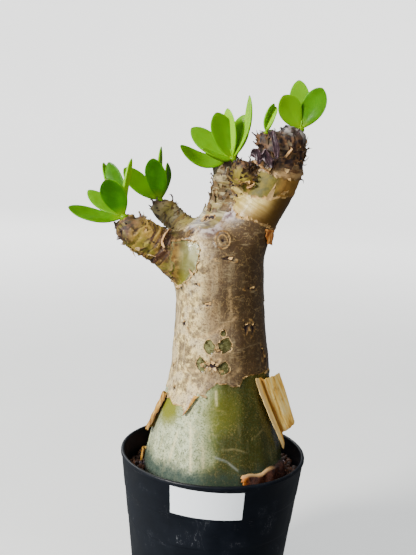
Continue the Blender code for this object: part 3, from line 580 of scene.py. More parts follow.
class Finish:
    """A node material while it is put together. Sizes are in millimetres."""

    def __init__(self, name, **values):
        self.material = bpy.data.materials.new(name)
        self.material.use_nodes = True
        self.tree = self.material.node_tree
        self.shader = self.tree.nodes["Principled BSDF"]
        for socket, value in values.items():
            self.shader.inputs[socket.replace("_", " ")].default_value = value
        self.object_place = self.add("ShaderNodeTexCoord").outputs["Object"]

    def add(self, kind, **settings):
        made = self.tree.nodes.new(kind)
        for name, value in settings.items():
            setattr(made, name, value)
        return made

    def feed(self, socket, value):
        if isinstance(value, bpy.types.NodeSocket):
            self.tree.links.new(value, socket)
        elif socket.type == "RGBA" and len(value) == 3:
            socket.default_value = (*value, 1.0)
        else:
            socket.default_value = value

    def place(self, stretch=EVEN, shift=(0.0, 0.0, 0.0)):
        mapping = self.add("ShaderNodeMapping")
        self.feed(mapping.inputs["Vector"], self.object_place)
        mapping.inputs["Scale"].default_value = [1.0 / value for value in stretch]
        mapping.inputs["Location"].default_value = shift
        return mapping.outputs["Vector"]

    def noise(self, size, detail=4.0, stretch=EVEN, rough=0.55, twist=0.0, shift=0.0, vector=None):
        made = self.add("ShaderNodeTexNoise")
        self.feed(made.inputs["Vector"], vector or self.place(stretch, (shift, shift, shift)))
        made.inputs["Scale"].default_value = 1.0 / (size * MM)
        made.inputs["Detail"].default_value = detail
        made.inputs["Roughness"].default_value = rough
        made.inputs["Distortion"].default_value = twist
        return made.outputs["Fac"]

    def cells(self, size):
        made = self.add("ShaderNodeTexVoronoi")
        self.feed(made.inputs["Vector"], self.place())
        made.inputs["Scale"].default_value = 1.0 / (size * MM)
        return made.outputs["Distance"]

    def sums(self, operation, first, second=0.0):
        made = self.add("ShaderNodeMath", operation=operation)
        self.feed(made.inputs[0], first)
        self.feed(made.inputs[1], second)
        return made.outputs["Value"]

    def times(self, first, second):
        return self.sums("MULTIPLY", first, second)

    def plus(self, first, second):
        return self.sums("ADD", first, second)

    def less(self, first, second):
        return self.sums("SUBTRACT", first, second)

    def off(self, value, middle):
        """How far the value is from this middle."""
        return self.sums("ABSOLUTE", self.less(value, middle))

    def level(self, value, low, high, new_low=0.0, new_high=1.0):
        """The value's share between low and high, eased, as a new range."""
        made = self.add("ShaderNodeMapRange", interpolation_type="SMOOTHSTEP")
        for socket, given in zip(made.inputs, (value, low, high, new_low, new_high)):
            self.feed(socket, given)
        return made.outputs["Result"]

    def mix(self, share, first, second):
        made = self.add("ShaderNodeMix", data_type="RGBA")
        for index, value in ((0, share), (6, first), (7, second)):
            self.feed(made.inputs[index], value)
        return made.outputs[2]

    def over(self, colour, *layers):
        """Layers laid over a colour one after the other, each a share and its own colour."""
        for share, layer in layers:
            colour = self.mix(share, colour, layer)
        return colour

    def ramp(self, value, *stops):
        made = self.add("ShaderNodeValToRGB")
        self.feed(made.inputs["Fac"], value)
        found = made.color_ramp.elements
        while len(found) < len(stops):
            found.new(0.5)
        for element, (place, colour) in zip(found, stops):
            element.position = place
            element.color = (*colour, 1.0)
        return made.outputs["Color"]

    def channels(self, name):
        """The three values of a colour attribute."""
        source = self.add("ShaderNodeAttribute", attribute_name=name)
        split = self.add("ShaderNodeSeparateColor")
        self.feed(split.inputs["Color"], source.outputs["Color"])
        return [split.outputs[index] for index in range(3)]

    def thin_lines(self, value, width):
        """Thin lines where a noise crosses its middle."""
        return self.level(self.off(value, 0.5), width, 0.0)

    def joined(self, x, y, z):
        made = self.add("ShaderNodeCombineXYZ")
        for socket, value in zip(made.inputs, (x, y, z)):
            self.feed(socket, value)
        return made.outputs["Vector"]

    def bump(self, height, distance, strength=1.0, under=None):
        made = self.add("ShaderNodeBump")
        self.feed(made.inputs["Height"], height)
        made.inputs["Distance"].default_value = distance * MM
        made.inputs["Strength"].default_value = strength
        if under:
            self.feed(made.inputs["Normal"], under)
        return made.outputs["Normal"]

    def use(self, **sockets):
        for name, value in sockets.items():
            self.feed(self.shader.inputs[name.replace("_", " ")], value)
        return self.material


# Stem


def stem_copy(voxel):
    """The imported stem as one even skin, cut off just below the top of the soil."""
    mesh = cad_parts["stem"].data.copy()
    mesh.materials.clear()
    skin = bpy.data.objects.new("stem_skin", mesh)
    bpy.context.scene.collection.objects.link(skin)
    edit(skin)
    bpy.ops.mesh.remove_doubles(threshold=DOUBLES_WITHIN * MM)
    bpy.ops.mesh.bisect(
        plane_co=(0.0, 0.0, SKIN_CUT * MM),
        plane_no=(0.0, 0.0, 1.0),
        use_fill=True,
        clear_inner=True,
    )
    leave_edit()
    even = skin.modifiers.new("Even skin", "REMESH")
    even.mode = "VOXEL"
    even.voxel_size = voxel
    soften = skin.modifiers.new("Soften", "SMOOTH")
    soften.factor = SOFTEN_SHARE
    soften.iterations = SOFTEN_ROUNDS
    apply_all(skin)
    return skin


def local_gap(points, angle, height, half_width, half_height, lean=0.0):
    """How far round a spot on the trunk each point is, as a share of the spot's own size."""
    centre = np.array(on_trunk(angle, height))
    turn = radians(angle)
    side = np.array((cos(turn), sin(turn), 0.0))
    across = (points - centre) @ side
    up = points[:, 2] - height
    tilt = radians(lean)
    u = across * cos(tilt) + up * sin(tilt)
    v = up * cos(tilt) - across * sin(tilt)
    near = np.linalg.norm(points - centre, axis=1) < 4.0 * (half_width + half_height)
    gap = np.hypot(u / half_width, v / half_height)
    return np.where(near, gap, 99.0), np.where(near, u, 99.0), np.where(near, v, 99.0)


def pit_gap(points, angle, height, wide, tall):
    """As local_gap, with a star-shaped outline for the larger pits."""
    gap, u, v = local_gap(points, angle, height, wide, tall)
    star = 0.34 if wide * tall > 2.0 else 0.0
    return gap * (1.0 + star * np.sin(5.0 * np.arctan2(v, u) + 1.0))


def stem_fields(points):
    """Every zone of the stem's skin, as named arrays over the vertices."""
    x, y, z = points.T
    angle = trunk_angle(points)
    ragged = layered_field(points, 2.6, 11)
    fine_rag = rough_field(points, 0.9, 17)

    names = list(LIMBS)
    limb = {name: along_limb(points, stations) for name, stations in LIMBS.items()}
    aways = np.array([limb[name][0] for name in names])
    trunk_x, trunk_y, trunk_r = trunk_at(z)
    trunk_away = np.hypot(x - trunk_x, y - trunk_y) / trunk_r + np.where(z > 193.0, 9.0, 0.0)
    nearest = np.where(trunk_away < aways.min(axis=0), -1, aways.argmin(axis=0))
    on = {name: nearest == index for index, name in enumerate(names)}

    edge = read_line(BARK_EDGE, np.where(angle > 170.0, angle - 360.0, angle))
    edge = edge + 0.45 * ragged + 0.3 * fine_rag
    lower = np.where(z < 160.0, z - edge, 50.0)

    crack = np.array(CRACK)[::-1]
    crack_x = np.interp(z, crack[:, 2], crack[:, 0]) + 0.35 * ragged
    patch = np.maximum.reduce(
        (
            x - crack_x,
            165.8 - z,
            z - 188.0 - 0.5 * ragged,
            -23.6 + 1.1 * ragged - x,
            y + 3.0,
        )
    )
    cover = np.minimum(lower, patch)
    lens = np.full(len(points), 9.0)
    for angle_at, height, wide, tall, lean in LENSES:
        _, u, v = local_gap(points, angle_at, height, wide, tall, lean)
        pointed = np.abs(u) / wide + (v / tall) ** 2
        lens = np.minimum(lens, (pointed + 0.14 * ragged + 0.1 * fine_rag - 1.0) * 0.8 * wide)
    cover = np.minimum(cover, lens)

    left = read_line(BARE_LIMB_FROM, z)
    on_right = (on["right"] | on["knob"]) & (z > 190.0)
    low_line = read_line(CREAM_FROM, x) + 0.5 * ragged + 0.3 * fine_rag
    mid_line = read_line(GREEN_FROM, x) + 0.7 * ragged + 0.4 * fine_rag
    top_line = read_line(RINGS_FROM, x) + 0.8 * ragged
    cream_gap = np.maximum.reduce((low_line - z, z - mid_line, left - x + 0.3 * ragged))
    green_gap = np.maximum.reduce((mid_line - z, z - top_line, left + 3.0 - x))
    turn, along = angle.copy(), z.copy()
    for name in names:
        along = np.where(on[name], limb[name][1] + 200.0, along)
        sides = limb[name][3]
        own = np.degrees(np.arctan2(sides[:, 0], -sides[:, 1]))
        turn = np.where(on[name], own, turn)
    return {
        "on": on,
        "limb": limb,
        "lens": lens,
        "cover": cover,
        "patch": patch,
        "angle": angle,
        "ragged": ragged,
        "on_right": on_right,
        "cream_gap": np.where(on_right, cream_gap, 9.0),
        "green_gap": np.where(on_right, green_gap, 9.0),
        "top_gap": np.where(on_right, z - top_line, -9.0),
        "turn": turn,
        "along": along,
        "pit_gaps": [pit_gap(points, *pit) for pit in PITS],
        "scar_gaps": [local_gap(points, *scar, scar[-1])[0] for scar in ROUND_SCARS],
    }


def limb_relief(points, fields):
    """Rings, overlapping leaf bases and stubs of the young ends; also how young each point is."""
    height = np.zeros(len(points))
    young = np.zeros(len(points))
    crease = np.zeros(len(points))
    wander = layered_field(points, 4.5, 31)
    for order, (name, (start, spacing, lift)) in enumerate(YOUNG_ENDS.items()):
        _, place, axes, sides = fields["limb"][name]
        grown = ease(place, start, start + 7.0) * fields["on"][name]
        across = np.cross(axes, np.array((0.0, 1.0, 0.2)))
        across /= np.linalg.norm(across, axis=1)[:, None]
        turn = np.arctan2(
            np.einsum("ij,ij->i", sides, np.cross(axes, across)),
            np.einsum("ij,ij->i", sides, across),
        )
        phase = (place + 0.9 * wander) / spacing + turn / tau + 0.25 * np.sin(3.0 * turn)
        part = phase - np.floor(phase)
        saw = part**1.6 - 0.5 * ease(part, 0.86, 1.0) * 2.0 * part
        height += grown * lift * (saw * (0.75 + 0.5 * rough_field(points, 3.0, 41 + order)))
        length = limb_length(LIMBS[name])
        stubs = int((length - start) / spacing * 1.7)
        reach = np.linalg.norm(sides, axis=1)
        gap_all = np.full(len(points), 9.0)
        for index in range(stubs):
            at = start + (length - start) * (index + 0.4) / stubs
            lag = (turn - index * GOLDEN_ANGLE + pi) % tau - pi
            gap = np.hypot(place - at, lag * reach) / (0.62 * spacing + 0.5)
            lump = np.where(gap < 1.0, np.cos(0.5 * pi * np.minimum(gap, 1.0)) ** 2, 0.0)
            height += grown * lump * 0.8 * lift
            height -= grown * bell(gap, 0.33) * 0.35 * lift
            gap_all = np.minimum(gap_all, gap)
        young = np.maximum(young, grown)
        slim = {"low_left": 1.1, "back_left": 0.6}.get(name, 0.0)
        height -= slim * grown * ease(length - place, 1.5, 6.0)
        # Creases: the low parts of the rings and the gaps round the stubs, where the finish paints
        # shade.
        low = np.maximum(ease(part, 0.9, 0.97), ease(part, 0.16, 0.04))
        crease = np.maximum(crease, grown * np.maximum(low, 0.8 * bell(gap_all, 0.3)))
    return height, young, crease


def shape_stem(skin, bark_step):
    """Layers, lifted edges, scars, cracks and wrinkles go into the skin's own shape."""
    mesh = skin.data
    points, normals = points_of(mesh), normals_of(mesh)
    fields = stem_fields(points)
    x, _, z = points.T
    cover, cream_gap, green_gap = fields["cover"], fields["cream_gap"], fields["green_gap"]
    bark = ease(cover, -0.15, 0.3)
    layer = bark - 0.45 * ease(-cream_gap, -0.15, 0.3) - ease(-green_gap, -0.15, 0.3)
    height = bark_step * layer
    torn = 0.5 + 0.5 * rough_field(points, 3.2, 5)
    for gap in (cover, cream_gap, green_gap):
        height += 0.28 * torn * bell(gap - 0.35, 0.42)

    relief, young, crease = limb_relief(points, fields)
    height += relief
    height += 0.16 * layered_field(points, 7.0, 51) * bark
    flat_grain = layered_field(points, np.array((6.0, 6.0, 1.1)), 57)
    height += 0.05 * flat_grain * bark * (1.0 - young)
    height += 0.05 * rough_field(points, 1.3, 61) * bark
    height += 0.05 * layered_field(points, np.array((2.4, 2.4, 14.0)), 65) * (1.0 - bark)

    for gap in fields["scar_gaps"]:
        ring = 0.42 * bell(gap - 1.0, 0.16) + 0.3 * bell(gap - 0.58, 0.12)
        height += ring - 0.25 * bell(gap - 0.8, 0.12) - 0.6 * bell(gap, 0.26)
    lens = fields["lens"]
    height += 0.26 * torn * bell(lens - 0.2, 0.32) - 0.25 * ease(-lens, 0.0, 1.2)
    for gap in fields["pit_gaps"]:
        height += 0.14 * bell(gap - 1.25, 0.3) - 0.5 * bell(gap, 0.75)
    crack = line_gap(points, CRACK)
    height -= 0.35 * bell(crack, 0.45)

    notch = blobs(points, (-9.1, -4.6, 197.6, 3.4), (-6.6, -5.4, 198.4, 2.6))
    height -= 0.9 * notch * (0.7 + 0.4 * rough_field(points, 1.2, 71))
    rings = ease(fields["top_gap"], 0.0, 1.5) * ease(226.0 - z, 0.0, 3.0) * fields["on"]["right"]
    ring_wave = np.sin(tau * (z - 0.25 * x + 0.8 * fields["ragged"]) / 1.7)
    height += 0.16 * rings * ring_wave
    fade = ease(z, 67.0, 71.0)
    put_points(mesh, points + normals * (height * fade)[:, None])
    paint_stem(mesh, points, fields, (young, crease, crack, notch, rings))


def drawn_lines(points, lines, width):
    """How near each point is to lines drawn on the trunk, from 0 to 1."""
    best = np.zeros(len(points))
    for line in lines:
        path = [tuple(on_trunk(angle, height)) for angle, height in line]
        best = np.maximum(best, bell(line_gap(points, path), width))
    return best


def paint_stem(mesh, points, fields, details):
    """What the stem's finish needs to know at each vertex."""
    young, crease, crack, notch, rings = details
    x, _, z = points.T
    drift = 18.0 * layered_field(points, 20.0, 81)
    cover = fields["cover"]
    cream_gap, green_gap = fields["cream_gap"], fields["green_gap"]
    on = fields["on"]

    bare = cover < 0.0
    drift = np.where(bare, 0.5 * drift, drift)
    # Lower down, the painted shade on the bare skin reaches further round to the left.
    low_down = 0.7 * np.clip(100.0 - z, 0.0, 20.0)

    # Painted light and shade round the stem: a pale side to the left, towards the light, with
    # painted highlight, and a dark side to the right, partly the stem's own darker right side and
    # partly painted shade.
    def side_tones_and_painted_light(angle):
        dark = np.where(
            bare, ease(angle + drift + low_down, -14.0, 12.0), ease(angle + drift, -12.0, 39.0)
        )
        # High on the trunk the dark side, partly painted shade, reaches further to the left.
        high = ease(z, 172.0, 184.0) * ease(angle + drift, -30.0, 16.0)
        dark = np.maximum(dark, np.where(bare, 0.0, high))
        dark = np.where(fields["on_right"], ease(angle + 0.5 * drift, -16.0, 34.0), dark)
        pale = np.where(bare, ease(-angle - drift, -2.0, 26.0), ease(-angle - drift, 2.0, 45.0))
        dark = dark * ease(165.0 - angle - drift, 0.0, 50.0)
        return dark, pale * ease(angle + 150.0 + drift, 0.0, 40.0)

    # The thick limb and the knob take the same painted light and shade round their own axes.
    on_limb = np.where(on["right"] | on["knob"], ease(z, 194.0, 208.0), 1.0)
    trunk_tones, limb_tones = side_tones_and_painted_light(fields["angle"]), side_tones_and_painted_light(fields["turn"])
    right_dark_and_painted_shade, left_pale_and_painted_light = (blend(a, b, on_limb) for a, b in zip(trunk_tones, limb_tones))
    patch = ease(-fields["patch"], 0.0, 1.0)
    fresh = 0.6 * blobs(points, (-20.5, -13.0, 178.0, 8.0))
    fresh += 0.3 * blobs(points, (1.5, -27.0, 112.0, 15.0))
    yellow = np.maximum.reduce((
        blobs(points, (-22.0, -14.0, 108.5, 12.0), (-21.5, -12.0, 170.5, 10.0)),
        fresh,
        0.6 * ease(-green_gap, 0.0, 1.0),
    ))
    wet = ease(88.5 + 1.5 * fields["ragged"] - z, 0.0, 7.5)
    cream = ease(-cream_gap, -0.1, 0.3)
    green = ease(-green_gap, -0.1, 0.3)
    rim = np.maximum.reduce(
        (bell(cover - 0.15, 0.4), bell(cream_gap - 0.2, 0.5), bell(green_gap - 0.2, 0.5))
    )
    lens = fields["lens"]
    broken = 0.45 + 0.55 * ease(rough_field(points, 1.6, 91), -0.5, 0.3)
    rim = rim * broken
    pits = np.zeros(len(points))
    for gap in fields["pit_gaps"]:
        pits = np.maximum(pits, bell(gap, 0.8))
        rim = np.maximum(rim, 0.75 * broken * bell(gap - 1.3, 0.35))
    for gap in fields["scar_gaps"]:
        pits = np.maximum(pits, 0.9 * bell(gap, 0.26))
        rim = np.maximum(rim, 0.85 * np.maximum(bell(gap - 1.0, 0.13), bell(gap - 0.58, 0.11)))
        pits = np.maximum(pits, 0.45 * bell(gap - 0.8, 0.09))
    # Painted shade: dark along the crack and in the notch's hollow.
    pits = np.maximum(pits, 0.75 * bell(crack, 0.3))
    pits = np.maximum(pits, 0.8 * ease(notch, 0.45, 0.85))
    rim = np.maximum(rim, ease(notch, 0.1, 0.35))
    purple = blobs(
        points,
        (-8.0, -12.0, 196.0, 10.0),
        (-11.0, -5.0, 195.0, 9.0),
        (1.5, -7.0, 200.5, 7.0),
        (6.0, -8.0, 224.0, 7.0),
        (-31.0, 12.0, 203.0, 6.0),
    )
    rugged = np.where(on["right"], ease(z + 0.8 * fields["ragged"], 220.5, 223.5), 0.0)
    crown = rugged * ease(z + 0.25 * x + 1.2 * fields["ragged"], 242.0, 246.0)
    knob_top = z + 0.5 * (x - 7.0) + 1.4 * fields["ragged"]
    rugged = np.maximum(rugged, np.where(on["knob"], ease(knob_top, 218.0, 221.5), 0.0))
    caps = blobs(
        points, (-42.5, -17.5, 198.5, 8.5), (-49.0, -16.5, 188.0, 6.0), (-32.5, 11.5, 204.5, 7.0)
    )
    rugged = np.maximum(rugged, 0.9 * caps)
    knob = np.where(on["knob"], ease(z, 209.5, 213.0), 0.0)
    low_left = np.where(
        on["low_left"],
        ease(-x, 20.0, 27.0),
        np.where(on["back_left"], 0.4 * ease(z, 188.0, 196.0), 0.0),
    )
    grey_limb = np.where(on["back_left"], 0.9, 0.0) + np.where(on["middle"], 0.85, 0.0)
    grey_limb = grey_limb * ease(z, 188.0, 196.0)
    tan = np.maximum(rings, np.where(on["middle"], 0.25 * ease(z, 200.0, 206.0), 0.0))
    tan = np.maximum(tan, patch * ease(-x, 16.5, 23.0))
    paint(mesh, "layers", np.clip(0.5 + cover / 8.0, 0.0, 1.0), cream, green)
    # Tones: the pale side with painted light, the dark side with painted shade, and the fresh
    # yellow skin.
    paint(mesh, "tones", left_pale_and_painted_light, right_dark_and_painted_shade, np.maximum(yellow, 0.0))
    paint(mesh, "marks", rim, pits, wet)
    paint(mesh, "limbs", purple, tan, rugged)
    paint(mesh, "growth", low_left, grey_limb, young)
    lines = 0.8 * drawn_lines(points, BASE_LINES, 0.38)
    streaks = drawn_lines(points, PALE_STREAKS, 0.55)
    # The last channel carries the creases for painted shade.
    paint(mesh, "openings", np.clip(0.5 + lens / 6.0, 0.0, 1.0), patch, crease)
    scratch = np.where(
        bare, drawn_lines(points, (PALE_SCRATCH,), 0.4), drawn_lines(points, BARK_LINES, 0.85)
    )
    paint(mesh, "lines", lines, streaks, scratch)
    paint(mesh, "rings", fields["along"] * MM, crown, knob)


def stem_finish(look):
    made = Finish("stem_bark_and_skin", Roughness=0.42, Specular_IOR_Level=0.3)
    bark_gap, cream, green = made.channels("layers")
    # The tones' first two channels are painted light on the pale side and painted shade on the dark
    # side.
    pale_side_and_painted_light, dark_side_and_painted_shade, yellow = made.channels("tones")
    rim, pits, wet = made.channels("marks")
    purple, tan, rugged = made.channels("limbs")
    low_left, grey_limb, young = made.channels("growth")
    scar_gap, patch, crease = made.channels("openings")
    line, pale_streak, scratch = made.channels("lines")
    along, crown, knob = made.channels("rings")
    mix, over, level, noise = made.mix, made.over, made.level, made.noise
    times, less, plus = made.times, made.less, made.plus

    broad = noise(9.0, 5.0, twist=0.4)
    middle = noise(2.6, 6.0, shift=3.0)
    speck = noise(1.2, 5.0, rough=0.7, shift=7.0)
    grit = noise(0.85, 4.0, rough=0.75, shift=4.0)
    streak = noise(3.0, 5.0, stretch=(1.0, 1.0, 9.0), shift=1.0)
    grain = noise(1.4, 6.0, stretch=(5.0, 5.0, 1.0), rough=0.65, shift=5.0)
    veins = made.thin_lines(noise(9.0, 3.0, shift=2.0), 0.01)
    split = made.add("ShaderNodeSeparateXYZ")
    made.feed(split.inputs["Vector"], made.object_place)
    round_limb = made.joined(
        along, times(split.outputs["X"], 0.12), times(split.outputs["Y"], 0.12)
    )
    ringed = noise(1.5, 5.0, rough=0.6, vector=round_limb)
    coarse_rings = noise(3.6, 4.0, twist=0.3, vector=round_limb)

    skin = mix(level(broad, 0.35, 0.65), look.skin_green, (0.11, 0.12, 0.016))
    # Bare skin: whitish bloom with painted sheen on the lit left side, and dark olive with painted
    # shade on the right.
    skin = over(
        skin,
        (times(pale_side_and_painted_light, 0.92), look.skin_pale_and_painted_light),
        (times(level(middle, 0.45, 0.58), 0.6), (0.17, 0.2, 0.1)),
        (times(dark_side_and_painted_shade, 0.96), look.skin_olive_and_painted_shade),
    )
    golden = times(level(grit, 0.5, 0.62), level(broad, 0.4, 0.6, 0.3, 0.7))
    skin = over(
        skin,
        (times(golden, level(dark_side_and_painted_shade, 0.0, 1.0, 0.55, 0.3)), (0.42, 0.34, 0.13)),
        (level(grit, 0.5, 0.4, 0.0, 0.75), (0.05, 0.062, 0.02)),
        (
            times(level(streak, 0.54, 0.7), level(dark_side_and_painted_shade, 0.0, 0.8, 0.4, 0.05)),
            (0.52, 0.48, 0.24),
        ),
        (times(line, level(speck, 0.3, 0.6, 0.05, 0.4)), (0.4, 0.32, 0.14)),
        (times(pale_streak, level(speck, 0.3, 0.6, 0.35, 1.0)), (0.7, 0.62, 0.34)),
        (times(scratch, 0.35), (0.4, 0.44, 0.42)),
    )
    patchy = mix(level(broad, 0.36, 0.64), (0.14, 0.13, 0.04), (0.29, 0.28, 0.13))
    skin = over(
        skin,
        (patch, mix(times(level(streak, 0.5, 0.65), 0.5), patchy, (0.42, 0.39, 0.2))),
        (times(yellow, 0.95), look.skin_yellow),
        (times(patch, tan), mix(level(middle, 0.4, 0.6), (0.085, 0.036, 0.01), (0.26, 0.15, 0.03))),
        (times(wet, level(pale_side_and_painted_light, 0.0, 1.0, 0.55, 0.88)), look.skin_wet),
    )
    scar_gap = plus(scar_gap, times(less(speck, 0.5), 0.07))
    opening = level(scar_gap, 0.505, 0.49)
    opened = mix(level(middle, 0.4, 0.6), (0.026, 0.022, 0.004), (0.13, 0.13, 0.048))
    # Opened scars take painted shade on the right side.
    opened = over(
        opened,
        (times(dark_side_and_painted_shade, 0.75), (0.03, 0.028, 0.004)),
        (level(grit, 0.55, 0.66, 0.0, 0.7), (0.34, 0.3, 0.14)),
    )
    skin = mix(opening, skin, opened)

    bark = mix(level(broad, 0.36, 0.62), look.bark_grey, look.bark_tan)
    # Painted light: the bark turns paler towards the lit left side.
    bark = mix(times(pale_side_and_painted_light, 0.55), bark, (0.47, 0.355, 0.145))
    mottle = plus(times(middle, 0.55), times(broad, 0.45))
    # Cream mottles and pale streaks, partly the bark's own and partly painted light, show on the
    # lit side.
    bark = over(
        bark,
        (times(times(level(mottle, 0.47, 0.56), pale_side_and_painted_light), 0.9), look.bark_cream_and_painted_light),
        (times(level(broad, 0.5, 0.6), times(pale_side_and_painted_light, 0.5)), (0.36, 0.33, 0.27)),
        (times(level(mottle, 0.49, 0.41), 0.72), (0.13, 0.095, 0.058)),
        (
            times(level(streak, 0.5, 0.62), level(pale_side_and_painted_light, 0.0, 1.0, 0.25, 0.65)),
            (0.74, 0.58, 0.31),
        ),
        # Brown bark on the right side, partly its own colour and partly painted shade.
        (times(dark_side_and_painted_shade, 0.93), look.bark_brown_and_painted_shade),
        (
            times(level(grit, 0.53, 0.66), level(dark_side_and_painted_shade, 0.0, 1.0, 0.6, 0.35)),
            (0.34, 0.22, 0.085),
        ),
        (level(grit, 0.5, 0.4, 0.0, 0.75), (0.07, 0.038, 0.017)),
        (level(grain, 0.56, 0.7, 0.0, 0.28), (0.46, 0.35, 0.18)),
        (times(veins, 0.4), (0.38, 0.25, 0.1)),
        (times(scratch, level(speck, 0.35, 0.6, 0.0, 0.55)), (0.52, 0.34, 0.15)),
        (
            times(purple, 0.72),
            mix(level(middle, 0.38, 0.62), (0.11, 0.065, 0.08), (0.5, 0.44, 0.44)),
        ),
    )
    grey = mix(level(ringed, 0.42, 0.57), (0.045, 0.03, 0.014), (0.38, 0.34, 0.19))
    grey = mix(level(broad, 0.48, 0.6, 0.0, 0.7), grey, (0.2, 0.155, 0.026))
    bark = mix(grey_limb, bark, grey)
    banded = mix(level(coarse_rings, 0.43, 0.57), (0.06, 0.024, 0.01), (0.33, 0.205, 0.035))
    banded = over(
        banded,
        (level(broad, 0.46, 0.6, 0.0, 0.75), (0.2, 0.18, 0.02)),
        (level(speck, 0.55, 0.66, 0.0, 0.6), (0.54, 0.35, 0.13)),
    )
    bark = mix(low_left, bark, banded)
    olive = mix(level(ringed, 0.4, 0.62), (0.08, 0.054, 0.01), (0.3, 0.235, 0.028))
    bark = mix(knob, bark, olive)
    papery = mix(level(ringed, 0.38, 0.62), (0.075, 0.032, 0.012), (0.36, 0.22, 0.085))
    bark = mix(times(tan, 0.85), bark, papery)
    rough_top = mix(level(middle, 0.38, 0.62), (0.012, 0.006, 0.006), (0.12, 0.058, 0.022))
    grey_top = mix(level(streak, 0.44, 0.58), (0.03, 0.02, 0.02), (0.25, 0.23, 0.22))
    bark = over(
        bark,
        (rugged, mix(times(crown, 0.85), rough_top, grey_top)),
        # Painted shade in the creases of the young ends.
        (times(crease, 0.88), (0.02, 0.01, 0.006)),
    )

    edge = plus(bark_gap, times(less(speck, 0.5), 0.06))
    colour = mix(level(edge, 0.49, 0.52), skin, bark)
    creamy = mix(level(ringed, 0.34, 0.66), (0.33, 0.235, 0.055), (0.68, 0.54, 0.21))
    # On the thick limb the cream zone goes dark to the right: partly its own darker skin, partly
    # painted shade.
    creamy = over(
        creamy,
        (level(middle, 0.5, 0.64, 0.0, 0.6), (0.3, 0.22, 0.035)),
        (
            level(dark_side_and_painted_shade, 0.0, 0.55, 0.0, 0.75),
            mix(ringed, (0.16, 0.08, 0.012), (0.4, 0.26, 0.07)),
        ),
        (level(dark_side_and_painted_shade, 0.35, 1.0, 0.0, 0.95), (0.06, 0.028, 0.004)),
    )
    colour = mix(cream, colour, creamy)
    greenish = mix(level(middle, 0.35, 0.65), (0.06, 0.052, 0.001), (0.14, 0.105, 0.005))
    # The green zone likewise darkens to the right, partly as painted shade.
    greenish = mix(
        level(dark_side_and_painted_shade, 0.25, 0.9, 0.0, 0.9),
        greenish,
        mix(middle, (0.06, 0.028, 0.004), (0.3, 0.15, 0.03)),
    )
    colour = mix(green, colour, greenish)
    rim_noise = times(rim, level(speck, 0.3, 0.52, 0.25, 1.0))
    tan_rim = mix(level(middle, 0.36, 0.6), (0.13, 0.05, 0.01), (0.54, 0.35, 0.13))
    # The tan rim goes darker with the painted shade on the right side.
    tan_rim = mix(times(dark_side_and_painted_shade, 0.55), tan_rim, (0.17, 0.085, 0.018))
    colour = mix(level(rim_noise, 0.3, 0.75), colour, tan_rim)
    outline = lambda at, wide: level(made.off(scar_gap, at), wide, 0.4 * wide)
    colour = over(
        colour,
        (times(outline(0.53, 0.03), level(middle, 0.4, 0.55, 0.2, 0.9)), (0.5, 0.34, 0.14)),
        (times(outline(0.488, 0.036), 0.85), (0.03, 0.014, 0.006)),
        # Pits and scar middles dark, with painted shade along the crack and in the notch.
        (level(pits, 0.15, 0.75), (0.016, 0.008, 0.008)),
    )

    rough = level(edge, 0.48, 0.53, 0.24, 0.34)
    rough = plus(rough, times(made.sums("MAXIMUM", young, green), 0.26))
    rough = plus(rough, times(less(middle, 0.5), 0.34))
    fine = plus(times(speck, 0.5), times(grain, 0.7))
    fine = plus(fine, times(ringed, young))
    normal = made.bump(fine, 0.22, 0.7, made.bump(grit, 0.1, 0.7))
    return made.use(Base_Color=colour, Roughness=rough, Normal=normal)


def build_stem(look):
    skin = stem_copy(look.skin_detail)
    shape_stem(skin, look.bark_step / MM)
    smooth(skin, 60.0)
    return dress(skin, "stem_skin", stem_finish(look), "bark", "stem")


# Flakes and scales


def plate_template():
    """One small plate, modelled once: a thin closed grid."""
    deselect()
    bpy.ops.mesh.primitive_grid_add(x_subdivisions=3, y_subdivisions=4, size=2.0)
    plate = bpy.context.object
    wall = plate.modifiers.new("Thickness", "SOLIDIFY")
    wall.thickness = 1.0
    wall.offset = 0.0
    apply_all(plate)
    return form_of(plate)


def form_of(piece):
    """The piece's points in its own units and its faces; the piece itself goes."""
    points = points_of(piece.data) * MM
    faces = [tuple(face.vertices) for face in piece.data.polygons]
    bpy.data.objects.remove(piece)
    return points, faces


